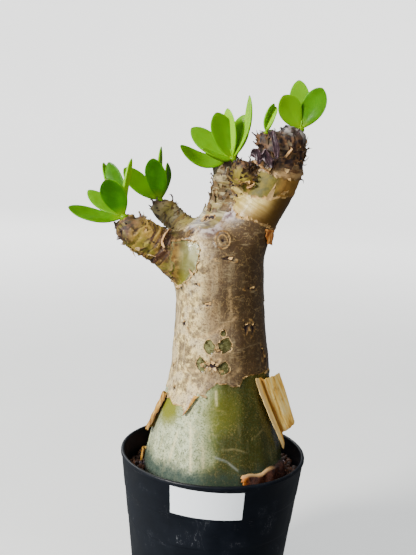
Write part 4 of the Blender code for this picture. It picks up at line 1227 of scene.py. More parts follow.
class Plates:
    """Copies of the plate, each bent, torn and placed on its own, gathered into one mesh."""

    def __init__(self, seed):
        self.form, self.form_faces = plate_template()
        self.chance = np.random.default_rng(seed)
        self.points, self.faces, self.shades = [], [], []

    def add(self, foot, normal, way, width, length, lift, thickness=0.16, tone=0.5, taper=0.4):
        """A plate rooted at foot that runs along way, and rises off the surface by lift."""
        normal = np.array(normal, float)
        way = np.array(way, float)
        way -= normal * (way @ normal)
        way /= np.linalg.norm(way) or 1.0
        side = np.cross(normal, way)
        u, v, w = self.form[:, 0], 0.5 + 0.5 * self.form[:, 1], self.form[:, 2]
        torn = self.chance.uniform(-1.0, 1.0, 3)
        end = 1.0 + 0.28 * torn[0] * u + 0.22 * np.sin(3.0 * u + 3.0 * torn[1])
        reach = length * v * np.where(v > 0.5, 1.0 + (end - 1.0) * (2.0 * v - 1.0), 1.0)
        half = 0.5 * width * (1.0 - taper * v**1.4) * (1.0 + 0.15 * torn[2] * np.sin(5.0 * v))
        curl = lift * v**1.7 + 0.16 * width * torn[1] * u * v
        cup = 0.1 * width * u * u * (0.3 + v)
        thin = thickness * (1.0 - 0.45 * v)
        spot = np.array(foot) + np.outer(reach, way) + np.outer(u * half, side)
        spot += np.outer(curl + cup - 0.12 + w * thin, normal)
        start = sum(len(found) for found in self.points)
        self.points.append(spot)
        self.faces += [tuple(start + index for index in face) for face in self.form_faces]
        tones = np.full((len(u), 3), tone)
        tones[:, 1] = v
        tones[:, 2] = self.chance.uniform()
        self.shades.append(tones)

    def sow(self, spot, way, sizes, wide, lifts, tone):
        """A plate of a drawn size and lift, rooted at a spot with its normal."""
        size = self.chance.uniform(*sizes)
        self.add(*spot, way, size * wide, size, self.chance.uniform(*lifts), tone=tone)

    def piece(self, name):
        made = mesh_piece(name, np.vstack(self.points), self.faces)
        paint(made.data, "flake", *np.vstack(self.shades).T)
        close_up(made)
        smooth(made, 50.0)
        return made


def tree_of(piece):
    """The piece's surface, to be searched."""
    shape = bmesh.new()
    shape.from_mesh(piece.data)
    tree = BVHTree.FromBMesh(shape)
    shape.free()
    return tree


def touch(tree, point):
    """The nearest spot on the stem's skin and the way that it faces."""
    spot, normal, _, _ = tree.find_nearest(Vector(point) * MM)
    return np.array(spot) / MM, np.array(normal)


def walk(line, spacing, chance):
    """Points along a line, unevenly spaced, each with the line's direction."""
    for low, high in zip(line, line[1:]):
        a, b = np.array(low, float), np.array(high, float)
        reach = np.linalg.norm(b - a)
        for share in np.arange(0.0, 1.0, spacing / max(reach, spacing)):
            share = min(1.0, share + chance.uniform(0.0, 0.6) * spacing / reach)
            yield a + share * (b - a), (b - a) / reach


def build_edge_flakes(tree):
    """Torn bark: along the bark's lower edge, the limb's bare band, the crack and the scars."""
    plates = Plates(FLAKE_SEED)
    chance = plates.chance
    down = np.array((0.0, 0.0, -1.0))
    edge = [on_trunk(angle, height) for angle, height in BARK_EDGE if angle > -185.0]
    for place, way in walk(edge, 2.6, chance):
        if chance.uniform() < 0.8:
            continue
        lean = down + 0.5 * chance.uniform(-1.0, 1.0) * way
        spot = touch(tree, place + (0.0, 0.0, 0.9))
        plates.sow(spot, lean, (0.7, 1.6), 2.0, (0.1, 0.5), 0.6)
    layers = ((CREAM_FROM, 1.0, 0.35), (GREEN_FROM, 1.0, 0.45), (RINGS_FROM, -1.0, 0.75))
    for line, way, skipped in layers:
        around = [(x, -14.0, z) for x, z in line]
        for place, _ in walk(around, 1.9, chance):
            if chance.uniform() < skipped:
                continue
            foot, normal = touch(tree, place)
            if abs(foot[2] - place[2]) > 3.0:
                continue
            size = chance.uniform(0.6, 1.6)
            up = np.array((0.3 * chance.uniform(-1.0, 1.0), 0.0, way))
            plates.add(foot, normal, up, size * 1.5, size, chance.uniform(0.1, 0.8), tone=0.75)
    for place, way in walk(CRACK, 1.5, chance):
        foot, normal = touch(tree, place)
        outward = np.cross(normal, way) * chance.choice((-1.0, 1.0, 1.0))
        plates.sow((foot, normal), outward, (0.6, 1.5), 1.6, (0.2, 0.8), 0.85)
    for angle, height, wide, tall, lean in LENSES:
        for turn in np.arange(0.0, tau, 2.2):
            turn += chance.uniform(-0.5, 0.5)
            place = on_trunk(angle, height + 1.08 * tall * sin(turn))
            side = radians(angle)
            place += Vector((cos(side), sin(side), 0.0)) * wide * 1.12 * cos(turn)
            foot, normal = touch(tree, place)
            inward = np.array(on_trunk(angle, height)) - foot
            plates.sow((foot, normal), inward, (0.4, 0.8), 1.7, (0.1, 0.4), 0.7)
    for angle, height, wide, tall in PITS:
        foot, normal = touch(tree, on_trunk(angle, height + 0.8 * tall))
        plates.add(foot, normal, down, wide * 1.2, chance.uniform(0.6, 1.2), 0.35, tone=0.75)
    special = (
        ((18.9, -12.6, 208.2), (0.35, -0.25, 1.0), 2.5, 7.6, 3.0, 0.72),
        ((-21.6, -8.0, 166.2), (-1.0, -0.4, -0.1), 2.6, 3.2, 0.8, 0.9),
        ((-18.8, -13.0, 167.6), (-0.8, -0.4, 0.3), 2.2, 3.0, 1.0, 0.9),
        ((-13.6, -17.8, 172.4), (-0.5, 0.0, 1.0), 1.7, 3.6, 0.9, 0.9),
        ((-19.4, -12.6, 188.6), (0.9, -0.4, -0.35), 2.3, 4.0, 1.0, 0.7),
        ((-33.4, -17.0, 180.0), (0.5, 0.0, 0.6), 2.2, 2.6, 1.0, 0.9),
        ((-39.6, -16.8, 182.8), (0.6, -0.2, 0.8), 2.2, 2.6, 1.0, 0.95),
        ((-36.0, -18.6, 192.0), (0.3, -0.5, 0.8), 2.4, 2.2, 0.9, 0.7),
        ((-42.6, -14.0, 183.4), (-0.35, -0.2, -1.0), 1.8, 4.6, 1.4, 0.95),
        ((-9.0, -5.2, 198.8), (0.8, -0.4, -0.2), 2.6, 3.0, 1.2, 0.62),
        ((-11.4, -4.6, 196.6), (0.7, 0.1, 0.5), 2.0, 2.2, 1.0, 0.6),
        ((21.4, -9.6, 221.0), (0.2, 0.0, -1.0), 2.6, 2.4, 0.8, 0.9),
        ((17.4, -11.6, 223.6), (0.5, 0.0, -1.0), 3.0, 3.2, 1.0, 0.8),
        ((26.0, -9.4, 222.6), (-0.2, 0.0, -1.0), 2.6, 2.0, 0.7, 0.8),
    )
    for turn in (20.0, 95.0, 160.0, 232.0, 305.0):
        way = (cos(radians(turn)), 0.0, sin(radians(turn)))
        place = np.array(on_trunk(-9.0, 132.6)) + 1.3 * np.array(way)
        special += ((place, way, 1.5, 2.4, 0.7, 0.85),)
    for place, way, wide, long, lift, tone in special:
        foot, normal = touch(tree, place)
        plates.add(foot, normal, way, wide, long, lift, 0.22, tone, 0.85)
    return plates


def build_limb_scales(tree):
    """Overlapping old leaf bases and grey scales on the young ends of the limbs."""
    plates = Plates(SCALE_SEED)
    chance = plates.chance
    plan = (
        ("middle", 9.0, 1.9, 8, 2.6, 0.75, 0.22, 0.2),
        ("low_left", 30.0, 3.1, 5, 2.0, 0.8, 0.2, 0.45),
        ("back_left", 12.0, 1.9, 5, 1.4, 0.55, 0.18, 0.5),
        ("right", 44.0, 2.0, 12, 2.3, 0.9, 0.02, 0.2),
        ("knob", 9.0, 1.7, 8, 1.9, 0.9, 0.06, 0.2),
    )
    for name, start, spacing, around, size, lift, tone, skipped in plan:
        length = limb_length(LIMBS[name]) - 2.0
        line, marks = limb_marks(name)
        for row, at in enumerate(np.arange(start, length, spacing), 1):
            centre = limb_centre(line, marks, at)
            ahead = limb_centre(line, marks, at + 1.0)
            radius = np.interp(at, marks, line[:, 3])
            axis = (ahead - centre) / (np.linalg.norm(ahead - centre) or 1.0)
            first = np.cross(axis, (0.0, 1.0, 0.2))
            first /= np.linalg.norm(first)
            second = np.cross(axis, first)
            for index in range(around):
                if chance.uniform() < skipped:
                    continue
                turn = tau * (index + 0.5 * (row % 2)) / around + chance.uniform(-0.3, 0.3)
                out = first * cos(turn) + second * sin(turn)
                foot, normal = touch(tree, centre + out * radius * 1.05)
                big = size * chance.uniform(0.6, 1.25)
                lean = axis + 0.4 * chance.uniform(-1.0, 1.0) * np.cross(axis, out)
                rise = lift * chance.uniform(0.5, 1.5)
                shade = tone + chance.uniform(-0.12, 0.26)
                plates.add(foot, normal, lean, big * 1.5, big, rise, 0.24, shade, 0.55)
    return plates


def flake_finish():
    made = Finish("torn_bark_flakes", Roughness=0.6, Specular_IOR_Level=0.3)
    tone, out, chance = made.channels("flake")
    mottle = made.noise(0.9, 5.0)
    colour = made.ramp(
        made.plus(made.times(tone, 0.8), made.times(mottle, 0.3)),
        (0.1, (0.018, 0.01, 0.009)),
        (0.34, (0.085, 0.052, 0.024)),
        (0.55, (0.22, 0.145, 0.06)),
        (0.78, (0.48, 0.29, 0.1)),
        (1.0, (0.7, 0.52, 0.27)),
    )
    colour = made.over(
        colour,
        (made.level(out, 0.7, 1.0, 0.0, 0.4), (0.3, 0.14, 0.04)),
        (made.level(chance, 0.6, 1.0, 0.0, 0.35), (0.2, 0.17, 0.11)),
    )
    return made.use(Base_Color=colour, Normal=made.bump(mottle, 0.12, 0.5))


# Thin sheets, strips and points


def torn_edge(u, v, seed, amount):
    """Moves the places near the sheet's outline inwards, unevenly."""
    chance = np.random.default_rng(seed).uniform(0.0, tau, 8)
    across, down = 2.0 * u - 1.0, 2.0 * v - 1.0
    wave = lambda t, a, b: 0.5 + 0.25 * np.sin(17.0 * t + a) + 0.25 * np.sin(41.0 * t + b)
    pull_u = amount * across**9 * wave(v, chance[0], chance[1])
    pull_v = amount * down**9 * wave(u, chance[2], chance[3])
    return u - 0.5 * pull_u, v - 0.5 * pull_v


def thin_sheet(
    place, columns, rows, thickness, tree, torn=0.06, seed=1, clear=SHEET_CLEAR, held=None
):
    """A thin sheet whose middle surface place(u, v) gives, with u across and v down.

    held(u, v) is 1 where the sheet has grown on the stem and 0 where it is free.
    """
    deselect()
    bpy.ops.mesh.primitive_grid_add(x_subdivisions=columns, y_subdivisions=rows, size=2.0)
    made = bpy.context.object
    flat = points_of(made.data) * MM
    across, down = 0.5 + 0.5 * flat[:, 0], 0.5 - 0.5 * flat[:, 1]
    points = []
    for u, v in zip(across, down):
        spot = np.array(place(*torn_edge(u, v, seed, torn)))
        if tree:
            foot, normal = touch(tree, spot)
            if (spot - foot) @ normal < clear:
                spot = foot + normal * clear
            if held:
                spot = spot + (foot - normal * HELD_DEPTH - spot) * held(u, v)
        points.append(spot)
    put_points(made.data, points)
    paint(made.data, "sheet", across, down)
    wall = made.modifiers.new("Thickness", "SOLIDIFY")
    wall.thickness = thickness * MM
    wall.offset = 0.0
    apply_all(made)
    close_up(made)
    smooth(made, 55.0)
    return made


def held_right(u, v):
    return ease(u, 0.88, 0.98)


def held_top(u, v):
    return 1.0 - ease(v, 0.03, 0.16)


def held_ends(u, v):
    return 1.0 - ease(min(v, 1.0 - v), 0.03, 0.14)


def big_flap(u, v):
    """The large papery flap at the right: free left edge, ridge, and a fold back to the trunk."""
    turn = 0.72
    share = u / turn if u < turn else (u - turn) / (1.0 - turn)
    if u < turn:
        notch = min(1.0, max(0.0, share - 0.15) / 0.12) * min(1.0, (1.0 - share) / 0.75)
        v -= 0.19 * max(0.0, v) ** 3 * notch
    v = max(0.0, v)
    left = on_trunk(blend(38.0, 76.0, v**1.15), blend(127.0, 88.5, v), BARK_GAP + 1.3)
    ridge = Vector((blend(29.4, 39.4, v), blend(-3.0, -1.0, v), blend(125.6, 99.8, v)))
    fixed = on_trunk(blend(104.0, 112.0, v), blend(119.0, 101.0, v), BARK_GAP)
    ripple = 0.22 * sin(19.0 * share + 3.0 * v) + 0.16 * sin(37.0 * share + 5.0 * v)
    if u < turn:
        bulge = 4.6 * sin(pi * share**1.3) * (1.0 - 0.4 * v)
        point = left.lerp(ridge, share)
        groove = 1.5 * exp(-((share - 0.2) ** 2) / 0.01)
        rolled = 1.3 * exp(-((share - 0.03) ** 2) / 0.003)
        point.y -= bulge - groove + rolled + ripple
        point.z += 0.5 * sin(11.0 * share + 1.0) * (1.0 - v) ** 4
        return point
    point = ridge.lerp(fixed, share)
    point.x += 1.2 * sin(pi * share) + ripple
    return point


def left_curl(u, v):
    """A long narrow curl down the trunk's left side."""
    angle = blend(-65.0, -79.0, v) - 9.0 * u
    off = BARK_GAP + 1.8 * sin(pi * u) + 1.3 * v * (1.0 - u)
    return on_trunk(angle, blend(115.0, 93.4, v), off + 0.15 * sin(23.0 * v))


def low_curl(u, v):
    return on_trunk(-86.0 - 6.0 * u, blend(83.0, 76.2, v), BARK_GAP + 1.0 * sin(pi * u))


def front_tongue(u, v):
    """The pointed tongue of bark that hangs at the front of the bark's edge."""
    half = blend(7.0, 0.5, v**0.8)
    angle = blend(-28.0, -34.5, v) + half * (2.0 * u - 1.0)
    rolled = 1.5 * max(0.0, u - 0.55) ** 2 * 4.0
    return on_trunk(angle, blend(118.5, 108.4, v), 0.35 + rolled + 0.3 * v)


def upper_flap(u, v):
    """The small orange flap at the right, just outside the thick limb."""
    near = Vector((18.0, -11.6, 195.3)).lerp(Vector((19.6, -9.0, 187.6)), v)
    far = Vector((22.8, -5.0, 194.8)).lerp(Vector((22.4, -4.4, 186.4)), v)
    point = near.lerp(far, u)
    point.x += 0.8 * sin(pi * u) + 0.2 * sin(9.0 * v + 4.0 * u)
    return point


def soil_scrap(u, v):
    """A torn strip of old bark at the trunk's right front, hanging down to the soil."""
    angle = blend(20.0, 74.0, u)
    height = blend(75.4, 77.6, u) + blend(8.4, 7.0, u) * (1.0 - v) + 0.5 * sin(13.0 * u)
    crease = 0.4 * sin(21.0 * u + 4.0 * v)
    return on_trunk(angle, height, BARK_GAP + 2.8 * v + crease)


def across_line(line, u, v, width, side, curl):
    """A strip along a line of points, v along it and u across it, with its edges curled up."""
    place = min(max(v, 0.0), 0.9999) * (len(line) - 1)
    index = int(place)
    spots = [Vector(point) for point in line]
    before = spots[max(0, index - 1)]
    after = spots[min(len(spots) - 1, index + 2)]
    share = place - index
    square, cube = share**2, share**3
    point = (
        spots[index] * (2.0 * cube - 3.0 * square + 1.0)
        + (spots[index + 1] - before) * 0.5 * (cube - 2.0 * square + share)
        + spots[index + 1] * (3.0 * square - 2.0 * cube)
        + (after - spots[index]) * 0.5 * (cube - square)
    )
    half = 0.5 * width * (0.3 + 0.7 * sin(pi * min(1.0, 0.15 + 0.8 * v)))
    lean = 2.0 * u - 1.0
    lift = Vector((0.0, -1.0, 0.0)) * curl * lean * lean
    return point + Vector(side).normalized() * half * lean + lift


HANGING_LEAF = (
    (18.3, -6.3, 236.7), (17.6, -8.0, 239.2), (18.6, -12.2, 238.4), (19.8, -13.4, 234.0),
    (21.0, -13.2, 230.2), (21.0, -13.4, 227.6), (19.0, -13.2, 226.8),
)
CRUMPLED_LEAF = (
    (9.4, -11.6, 228.4), (11.6, -12.6, 229.2), (13.4, -13.6, 226.6), (15.6, -14.0, 228.4),
    (17.8, -14.4, 225.8), (19.6, -14.2, 224.4), (20.2, -9.9, 222.9),
)


def hanging_leaf(u, v):
    point = across_line(HANGING_LEAF, u, v, 2.6, (1.0, -0.1, 0.2), 0.9)
    point.x += 0.25 * sin(17.0 * v + 5.0 * u)
    return point


def crumpled_leaf(u, v):
    point = across_line(CRUMPLED_LEAF, u, v, 5.2, (0.2, -0.35, 1.0), 1.4)
    point.y -= 0.35 * sin(23.0 * v + 7.0 * u)
    point.z += 0.35 * sin(31.0 * v)
    return point


def fibre_finish(name, rough, size, detail, drawn_out, relief, strength, *stops):
    """One noise, drawn out along the height, gives both the colour and the relief."""
    made = Finish(name, Roughness=rough)
    fibre = made.noise(size, detail, stretch=(1.0, 1.0, drawn_out))
    colour = made.ramp(fibre, *stops)
    return made.use(Base_Color=colour, Normal=made.bump(fibre, relief, strength))


def papery_finish():
    """Dry golden bark with pale fibres along it, with painted shade in its groove and past its
    outer fold.
    """
    made = Finish("papery_bark_golden", Roughness=0.45)
    across, down, _ = made.channels("sheet")
    along = made.joined(made.times(across, 0.03), made.times(down, 0.004), 0.0)
    fibre = made.noise(1.5, 6.0, rough=0.6, vector=along)
    blotch = made.noise(3.4, 4.0, shift=2.0)
    fine = made.noise(0.5, 4.0)
    colour = made.ramp(
        fibre,
        (0.3, (0.34, 0.12, 0.01)),
        (0.42, (0.84, 0.46, 0.06)),
        (0.54, (1.0, 0.68, 0.17)),
        (0.7, (1.0, 0.84, 0.42)),
    )
    colour = made.over(
        colour,
        (made.level(blotch, 0.56, 0.72, 0.0, 0.55), (0.34, 0.15, 0.03)),
        (made.level(fine, 0.58, 0.72, 0.0, 0.35), (0.26, 0.11, 0.02)),
    )
    rim = made.level(across, 0.13, 0.06)
    colour = made.mix(made.times(rim, 0.7), colour, (0.8, 0.58, 0.26))
    # Painted shade in the groove.
    groove = made.times(made.level(across, 0.11, 0.16), made.level(across, 0.33, 0.22))
    colour = made.mix(made.times(groove, 0.88), colour, (0.16, 0.05, 0.003))
    # Painted shade past the ridge, where the flap folds back to the trunk.
    fold = made.level(across, 0.74, 0.82)
    colour = made.mix(made.times(fold, 0.85), colour, (0.16, 0.06, 0.012))
    foot = made.level(down, 0.82, 1.0, 0.0, 0.5)
    colour = made.mix(foot, colour, (0.4, 0.19, 0.04))
    normal = made.bump(fibre, 0.3, 0.6, made.bump(blotch, 0.4, 0.4))
    return made.use(Base_Color=colour, Normal=normal)


def golden_roll_finish(bark_share):
    """Rolled golden bark; a tongue keeps the trunk's grey tan up to this share across it."""
    made = Finish("papery_bark_rolled", Roughness=0.42)
    across, down, _ = made.channels("sheet")
    fibre = made.noise(1.0, 6.0, stretch=(1.0, 1.0, 5.0))
    speck = made.noise(0.6, 4.0, shift=6.0)
    colour = made.ramp(
        fibre, (0.32, (0.12, 0.042, 0.004)), (0.5, (0.38, 0.185, 0.02)), (0.68, (0.66, 0.41, 0.095))
    )
    bark = made.mix(made.level(speck, 0.4, 0.62), (0.26, 0.19, 0.11), (0.58, 0.47, 0.3))
    colour = made.mix(made.level(across, bark_share + 0.08, bark_share - 0.08), colour, bark)
    if bark_share > 0.0:
        colour = made.mix(made.level(down, 0.74, 0.95, 0.0, 0.85), colour, (0.24, 0.075, 0.035))
    else:
        colour = made.mix(made.level(across, 0.25, 0.0, 0.0, 0.7), colour, (0.09, 0.035, 0.01))
    return made.use(Base_Color=colour, Normal=made.bump(fibre, 0.25, 0.6))


def wet_bark_finish():
    """Old bark on the soil, damp and reddish brown with a pale torn upper edge."""
    made = Finish("old_bark_damp", Roughness=0.24)
    across, down, _ = made.channels("sheet")
    blotch = made.noise(3.0, 6.0)
    dark = made.ramp(
        blotch,
        (0.35, (0.012, 0.004, 0.003)),
        (0.6, (0.05, 0.016, 0.008)),
        (0.8, (0.16, 0.055, 0.015)),
    )
    glow = made.ramp(
        blotch, (0.35, (0.1, 0.022, 0.006)), (0.52, (0.42, 0.12, 0.02)), (0.72, (0.75, 0.34, 0.07))
    )
    colour = made.mix(made.level(across, 0.17, 0.03), dark, glow)
    streak = made.times(made.level(down, 0.22, 0.06), made.level(across, 0.75, 0.45))
    colour = made.mix(made.times(streak, 0.8), colour, (0.58, 0.36, 0.15))
    return made.use(Base_Color=colour, Normal=made.bump(blotch, 0.5, 0.7))


def build_bark_sheets(tree):
    golden, wet = papery_finish(), wet_bark_finish()
    orange = fibre_finish("papery_bark_orange", 0.5, 1.0, 6.0, 6.0, 0.2, 0.6, *ORANGE_BARK)
    rolled, tongue = golden_roll_finish(0.0), golden_roll_finish(0.58)
    plan = (
        (
            "flap_large", big_flap, 90, 70, 0.3, golden, "papery_bark",
            "bark_flap_large", 0.05, held_right,
        ),
        (
            "curl_left", left_curl, 16, 70, 0.3, rolled, "papery_bark",
            "bark_curl_left", 0.1, held_right,
        ),
        (
            "curl_low", low_curl, 14, 24, 0.3, rolled, "papery_bark",
            "bark_curl_low", 0.12, held_right,
        ),
        (
            "tongue_front", front_tongue, 26, 36, 0.3, tongue, "papery_bark",
            "bark_tongue_front", 0.05, held_top,
        ),
        (
            "flap_upper", upper_flap, 24, 30, 0.28, orange, "papery_bark",
            "bark_flap_upper", 0.14, held_top,
        ),
        (
            "scrap_on_soil", soil_scrap, 80, 18, 0.4, wet, "old_bark",
            "bark_scrap_on_soil", 0.14, held_top,
        ),
    )
    for seed, row in enumerate(plan, SHEET_SEEDS_FROM):
        name, place, columns, rows, thick, finish, slot, node, torn, held = row
        made = thin_sheet(place, columns, rows, thick, tree, torn, seed, held=held)
        dress(made, name, finish, slot, node)


def build_dried_leaves(tree):
    dark = fibre_finish("dried_leaf_purple", 0.42, 0.8, 6.0, 3.0, 0.3, 0.8, *DRIED_LEAF)
    for name, place, rows, node in (
        ("leaf_hanging", hanging_leaf, 70, "dried_leaf_hanging"),
        ("leaf_crumpled", crumpled_leaf, 80, "dried_leaf_crumpled"),
    ):
        made = thin_sheet(place, 14, rows, 0.45, tree, 0.08, DRIED_LEAF_SEED, DRIED_LEAF_CLEAR)
        dress(made, name, dark, "dried_leaf", node)


def build_strips(tree):
    """Narrow strips of dry bark lying across the limbs."""
    finish = fibre_finish("papery_bark_strip", 0.55, 0.8, 5.0, 3.0, 0.2, 0.6, *STRIP_BARK)
    for order, (line, width, side) in enumerate(STRIPS):
        place = lambda u, v: across_line(line, u, v, width, side, 0.2)
        seed = STRIP_SEEDS_FROM + order
        made = thin_sheet(place, 6, 36, 0.24, tree, 0.05, seed, STRIP_CLEAR, held_ends)
        dress(made, f"bark_strip_{order + 1}", finish, "papery_bark")


def build_points(tree):
    """Dried leaf points on the young ends: one curve with a spline for each, made a mesh."""
    chance = np.random.default_rng(POINT_SEED)
    lines = list(DRIED_POINTS)
    for name, count, size in LOOSE_POINTS:
        line, marks = limb_marks(name)
        start = max(YOUNG_ENDS[name][0], marks[-1] - 16.0)
        for _ in range(count):
            at = chance.uniform(start, marks[-1])
            centre = limb_centre(line, marks, at)
            away = chance.normal(size=3)
            away /= np.linalg.norm(away)
            foot, normal = touch(tree, centre + away * np.interp(at, marks, line[:, 3]))
            bend = foot + normal * chance.uniform(0.5, 1.1) * size
            tip = bend + (normal + 0.9 * chance.normal(size=3)) * chance.uniform(0.4, 0.9) * size
            lines.append((foot, bend, tip, chance.uniform(0.6, 1.1)))
    guide = bpy.data.curves.new("dried_points", "CURVE")
    guide.dimensions = "3D"
    guide.bevel_depth = 0.5 * MM
    guide.bevel_resolution = 1
    guide.use_fill_caps = True
    for start, bend, tip, width in lines:
        start, bend, tip = (Vector(point) for point in (start, bend, tip))
        root = start + (start - bend) * 0.5
        spline = guide.splines.new("BEZIER")
        spline.resolution_u = 3
        spline.bezier_points.add(3)
        spots = (root, start, bend, tip)
        for point, spot, share in zip(spline.bezier_points, spots, POINT_TAPER):
            point.co = spot * MM
            point.radius = width * share
            point.handle_left_type = "AUTO"
            point.handle_right_type = "AUTO"
    made = bpy.data.objects.new("dried_points", guide)
    bpy.context.scene.collection.objects.link(made)
    keep_alone(made)
    bpy.ops.object.convert(target="MESH")
    made = bpy.context.object
    close_up(made)
    smooth(made, 50.0)
    black = fibre_finish("dried_points_black", 0.5, 0.9, 4.0, 1.0, 0.15, 0.6, *DRIED_POINT)
    dress(made, "dried_points", black, "bark")


# Leaves


def leaf_mesh(base, tip, width, facing, bend, thickness, order, tone=0.6):
    """A fleshy spoon-shaped leaf: a sphere drawn out along the leaf and pressed flat."""
    deselect()
    bpy.ops.mesh.primitive_uv_sphere_add(segments=36, ring_count=30, radius=1.0)
    leaf = bpy.context.object
    base, tip = np.array(base), np.array(tip)
    length = np.linalg.norm(tip - base)
    axis = (tip - base) / length
    face = np.array(facing, float)
    face -= axis * (face @ axis)
    face /= np.linalg.norm(face)
    across = np.cross(face, axis)
    x, y, z = (points_of(leaf.data) * MM).T
    share = 0.5 + 0.5 * z
    belt = np.sqrt(np.maximum(0.0, 1.0 - z * z))
    ring = np.maximum(belt, 1e-6)
    chance = np.random.default_rng(order)
    outline = share**0.92 * np.maximum(1.0 - share, 0.0) ** 0.64
    spread = 0.52 * width * outline / outline.max()
    depth = 0.5 * thickness * belt**0.7 * (1.25 - 0.45 * share)
    side = spread * x / ring
    rise = depth * np.sign(y) * np.abs(y / ring) ** 0.75
    cup = 0.09 * width * (2.0 * side / width) ** 2
    arch = bend * 4.0 * share * (1.0 - share)
    wave = 0.14 * np.sin(5.0 * share + chance.uniform(0.0, 6.0)) * (2.0 * side / width)
    wave += 0.1 * np.sin(9.0 * share + chance.uniform(0.0, 6.0)) * (2.0 * side / width) ** 2
    midline = 0.13 * bell(side, 0.1 * width) * np.sin(pi * share)
    rise = rise - np.where(y > 0.0, midline, -0.5 * midline)
    points = base + np.outer(share * length, axis) + np.outer(side, across)
    points += np.outer(rise + cup - arch + wave, face)
    put_points(leaf.data, points)
    edge = np.clip(np.abs(x / ring), 0.0, 1.0) ** 3
    paint(leaf.data, "leaf", share, edge, np.full(len(x), tone))
    return leaf


def build_rosettes(look):
    green = leaf_finish(look)
    order = LEAF_SEEDS_FROM
    for name, (centre, bud_radius, leaves) in ROSETTES.items():
        deselect()
        bpy.ops.mesh.primitive_ico_sphere_add(
            subdivisions=3, radius=bud_radius * 0.8 * MM, location=Vector(centre) * MM
        )
        bud = bpy.context.object
        settle(bud)
        paint(bud.data, "leaf", np.zeros(len(bud.data.vertices)), np.zeros(len(bud.data.vertices)))
        made = [bud]
        for tone, (tip, width, facing, bend, thickness) in zip(LEAF_GREENS_AND_PAINTED_LIGHT[name], leaves):
            order += 1
            out = (Vector(tip) - Vector(centre)).normalized()
            base = Vector(centre) + out * 0.2 * bud_radius
            made.append(leaf_mesh(base, tip, width, facing, bend, thickness, order, tone))
        out = sum((Vector(leaf[0]) - Vector(centre) for leaf in leaves), Vector()).normalized()
        for young in range(2):
            order += 1
            lean = (out + Vector((0.25 * (-1.0) ** young, -0.1, 0.9))).normalized()
            tip = Vector(centre) + lean * (bud_radius * 2.3)
            facing = (0.9 * (-1.0) ** young, -0.4, 0.1)
            made.append(leaf_mesh(centre, tip, 2.2, facing, 0.3, 1.1, order))
        deselect()
        for piece in made:
            piece.select_set(True)
        bpy.context.view_layer.objects.active = bud
        bpy.ops.object.join()
        piece = bpy.context.object
        close_up(piece)
        keep_alone(piece)
        bpy.ops.object.shade_smooth()
        dress(piece, name.replace("rosette", "leaves"), green, "leaf_green", name)


def leaf_finish(look):
    made = Finish(
        "leaf_glossy_green",
        Roughness=0.24,
        Specular_IOR_Level=0.11,
        Subsurface_Weight=0.3,
        Subsurface_Scale=0.0016,
        Subsurface_Radius=(0.5, 1.0, 0.05),
    )
    share, edge, tone = made.channels("leaf")
    broad = made.noise(7.0, 3.0)
    fine = made.noise(0.5, 4.0)
    colour = made.mix(made.level(broad, 0.35, 0.65), look.leaf_deep, look.leaf_green)
    # Each leaf's tone brings in the bright green: partly the leaf's own colour, partly painted
    # light.
    colour = made.over(
        colour,
        (made.level(tone, 0.0, 1.0, 0.0, 1.0), look.leaf_bright),
        (made.level(share, 0.3, 0.0, 0.0, 0.7), (0.16, 0.28, 0.0)),
        # Lighter margins: partly the leaves' own paler edges, partly painted highlight along them.
        (made.level(edge, 0.6, 1.0, 0.0, 0.4), (0.16, 0.42, 0.0)),
        (made.level(fine, 0.6, 0.75, 0.0, 0.2), (0.14, 0.3, 0.0)),
        (made.level(share, 0.975, 0.995, 0.0, 0.8), (0.1, 0.045, 0.01)),
    )
    normal = made.bump(fine, 0.05, 0.35, made.bump(made.noise(3.0, 3.0), 0.25, 0.35))
    return made.use(Base_Color=colour, Normal=normal)


# Soil, pot and label


def build_soil(settings):
    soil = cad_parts["soil"]
    grit = grit_finish()
    soil.data.materials.clear()
    soil.data.materials.append(grit)
    deselect()
    bpy.ops.mesh.primitive_ico_sphere_add(subdivisions=2, radius=1.0)
    ball, faces = form_of(bpy.context.object)
    chance = np.random.default_rng(GRANULE_SEED)
    top = tree_of(soil)
    points, all_faces, tones = [], [], []
    count = 0
    while count < settings.granules:
        turn = chance.uniform(0.0, tau)
        _, _, trunk_r = trunk_at(SOIL_LEVEL)
        reach = sqrt(chance.uniform((trunk_r - 0.4) ** 2, GRANULES_OUT_TO**2))
        x, y = reach * cos(turn) + 0.3, reach * sin(turn)
        hit, _, _, _ = top.ray_cast(Vector((x, y, DROP_FROM)) * MM, Vector((0.0, 0.0, -1.0)))
        if hit is None or hit.z < LOWEST_SOIL * MM:
            continue
        size = 0.55 + 1.15 * chance.uniform() ** 2.2
        if hypot(x, y) + size > GRANULES_WITHIN:
            continue
        squeeze = chance.uniform(0.7, 1.15, 3)
        spin = Matrix.Rotation(chance.uniform(0, tau), 3, Vector(chance.normal(size=3)))
        lumps = 1.0 + 0.16 * rough_field(ball + 9.0 * count, 0.9, 77)
        grain = (ball * lumps[:, None] * squeeze * size) @ np.array(spin)
        grain += (x, y, hit.z / MM + 0.25 * size + chance.uniform(0.0, 0.7))
        start = count * len(ball)
        points.append(grain)
        all_faces += [tuple(start + index for index in face) for face in faces]
        tones.append(np.tile(chance.uniform(size=3), (len(ball), 1)))
        count += 1
    made = mesh_piece("granules", np.vstack(points), all_faces)
    paint(made.data, "grain", *np.vstack(tones).T)
    keep_alone(made)
    bpy.ops.object.shade_smooth()
    dress(made, "soil_granules", granule_finish(), "potting_grit")


def grit_finish():
    made = Finish("grit_damp", Roughness=0.8)
    lump = made.cells(2.4)
    fine = made.noise(0.7, 5.0)
    colour = made.ramp(
        fine,
        (0.3, (0.012, 0.006, 0.004)),
        (0.55, (0.05, 0.022, 0.013)),
        (0.8, (0.16, 0.075, 0.042)),
    )
    return made.use(Base_Color=colour, Normal=made.bump(fine, 0.4, 0.8, made.bump(lump, 1.2, 0.8)))


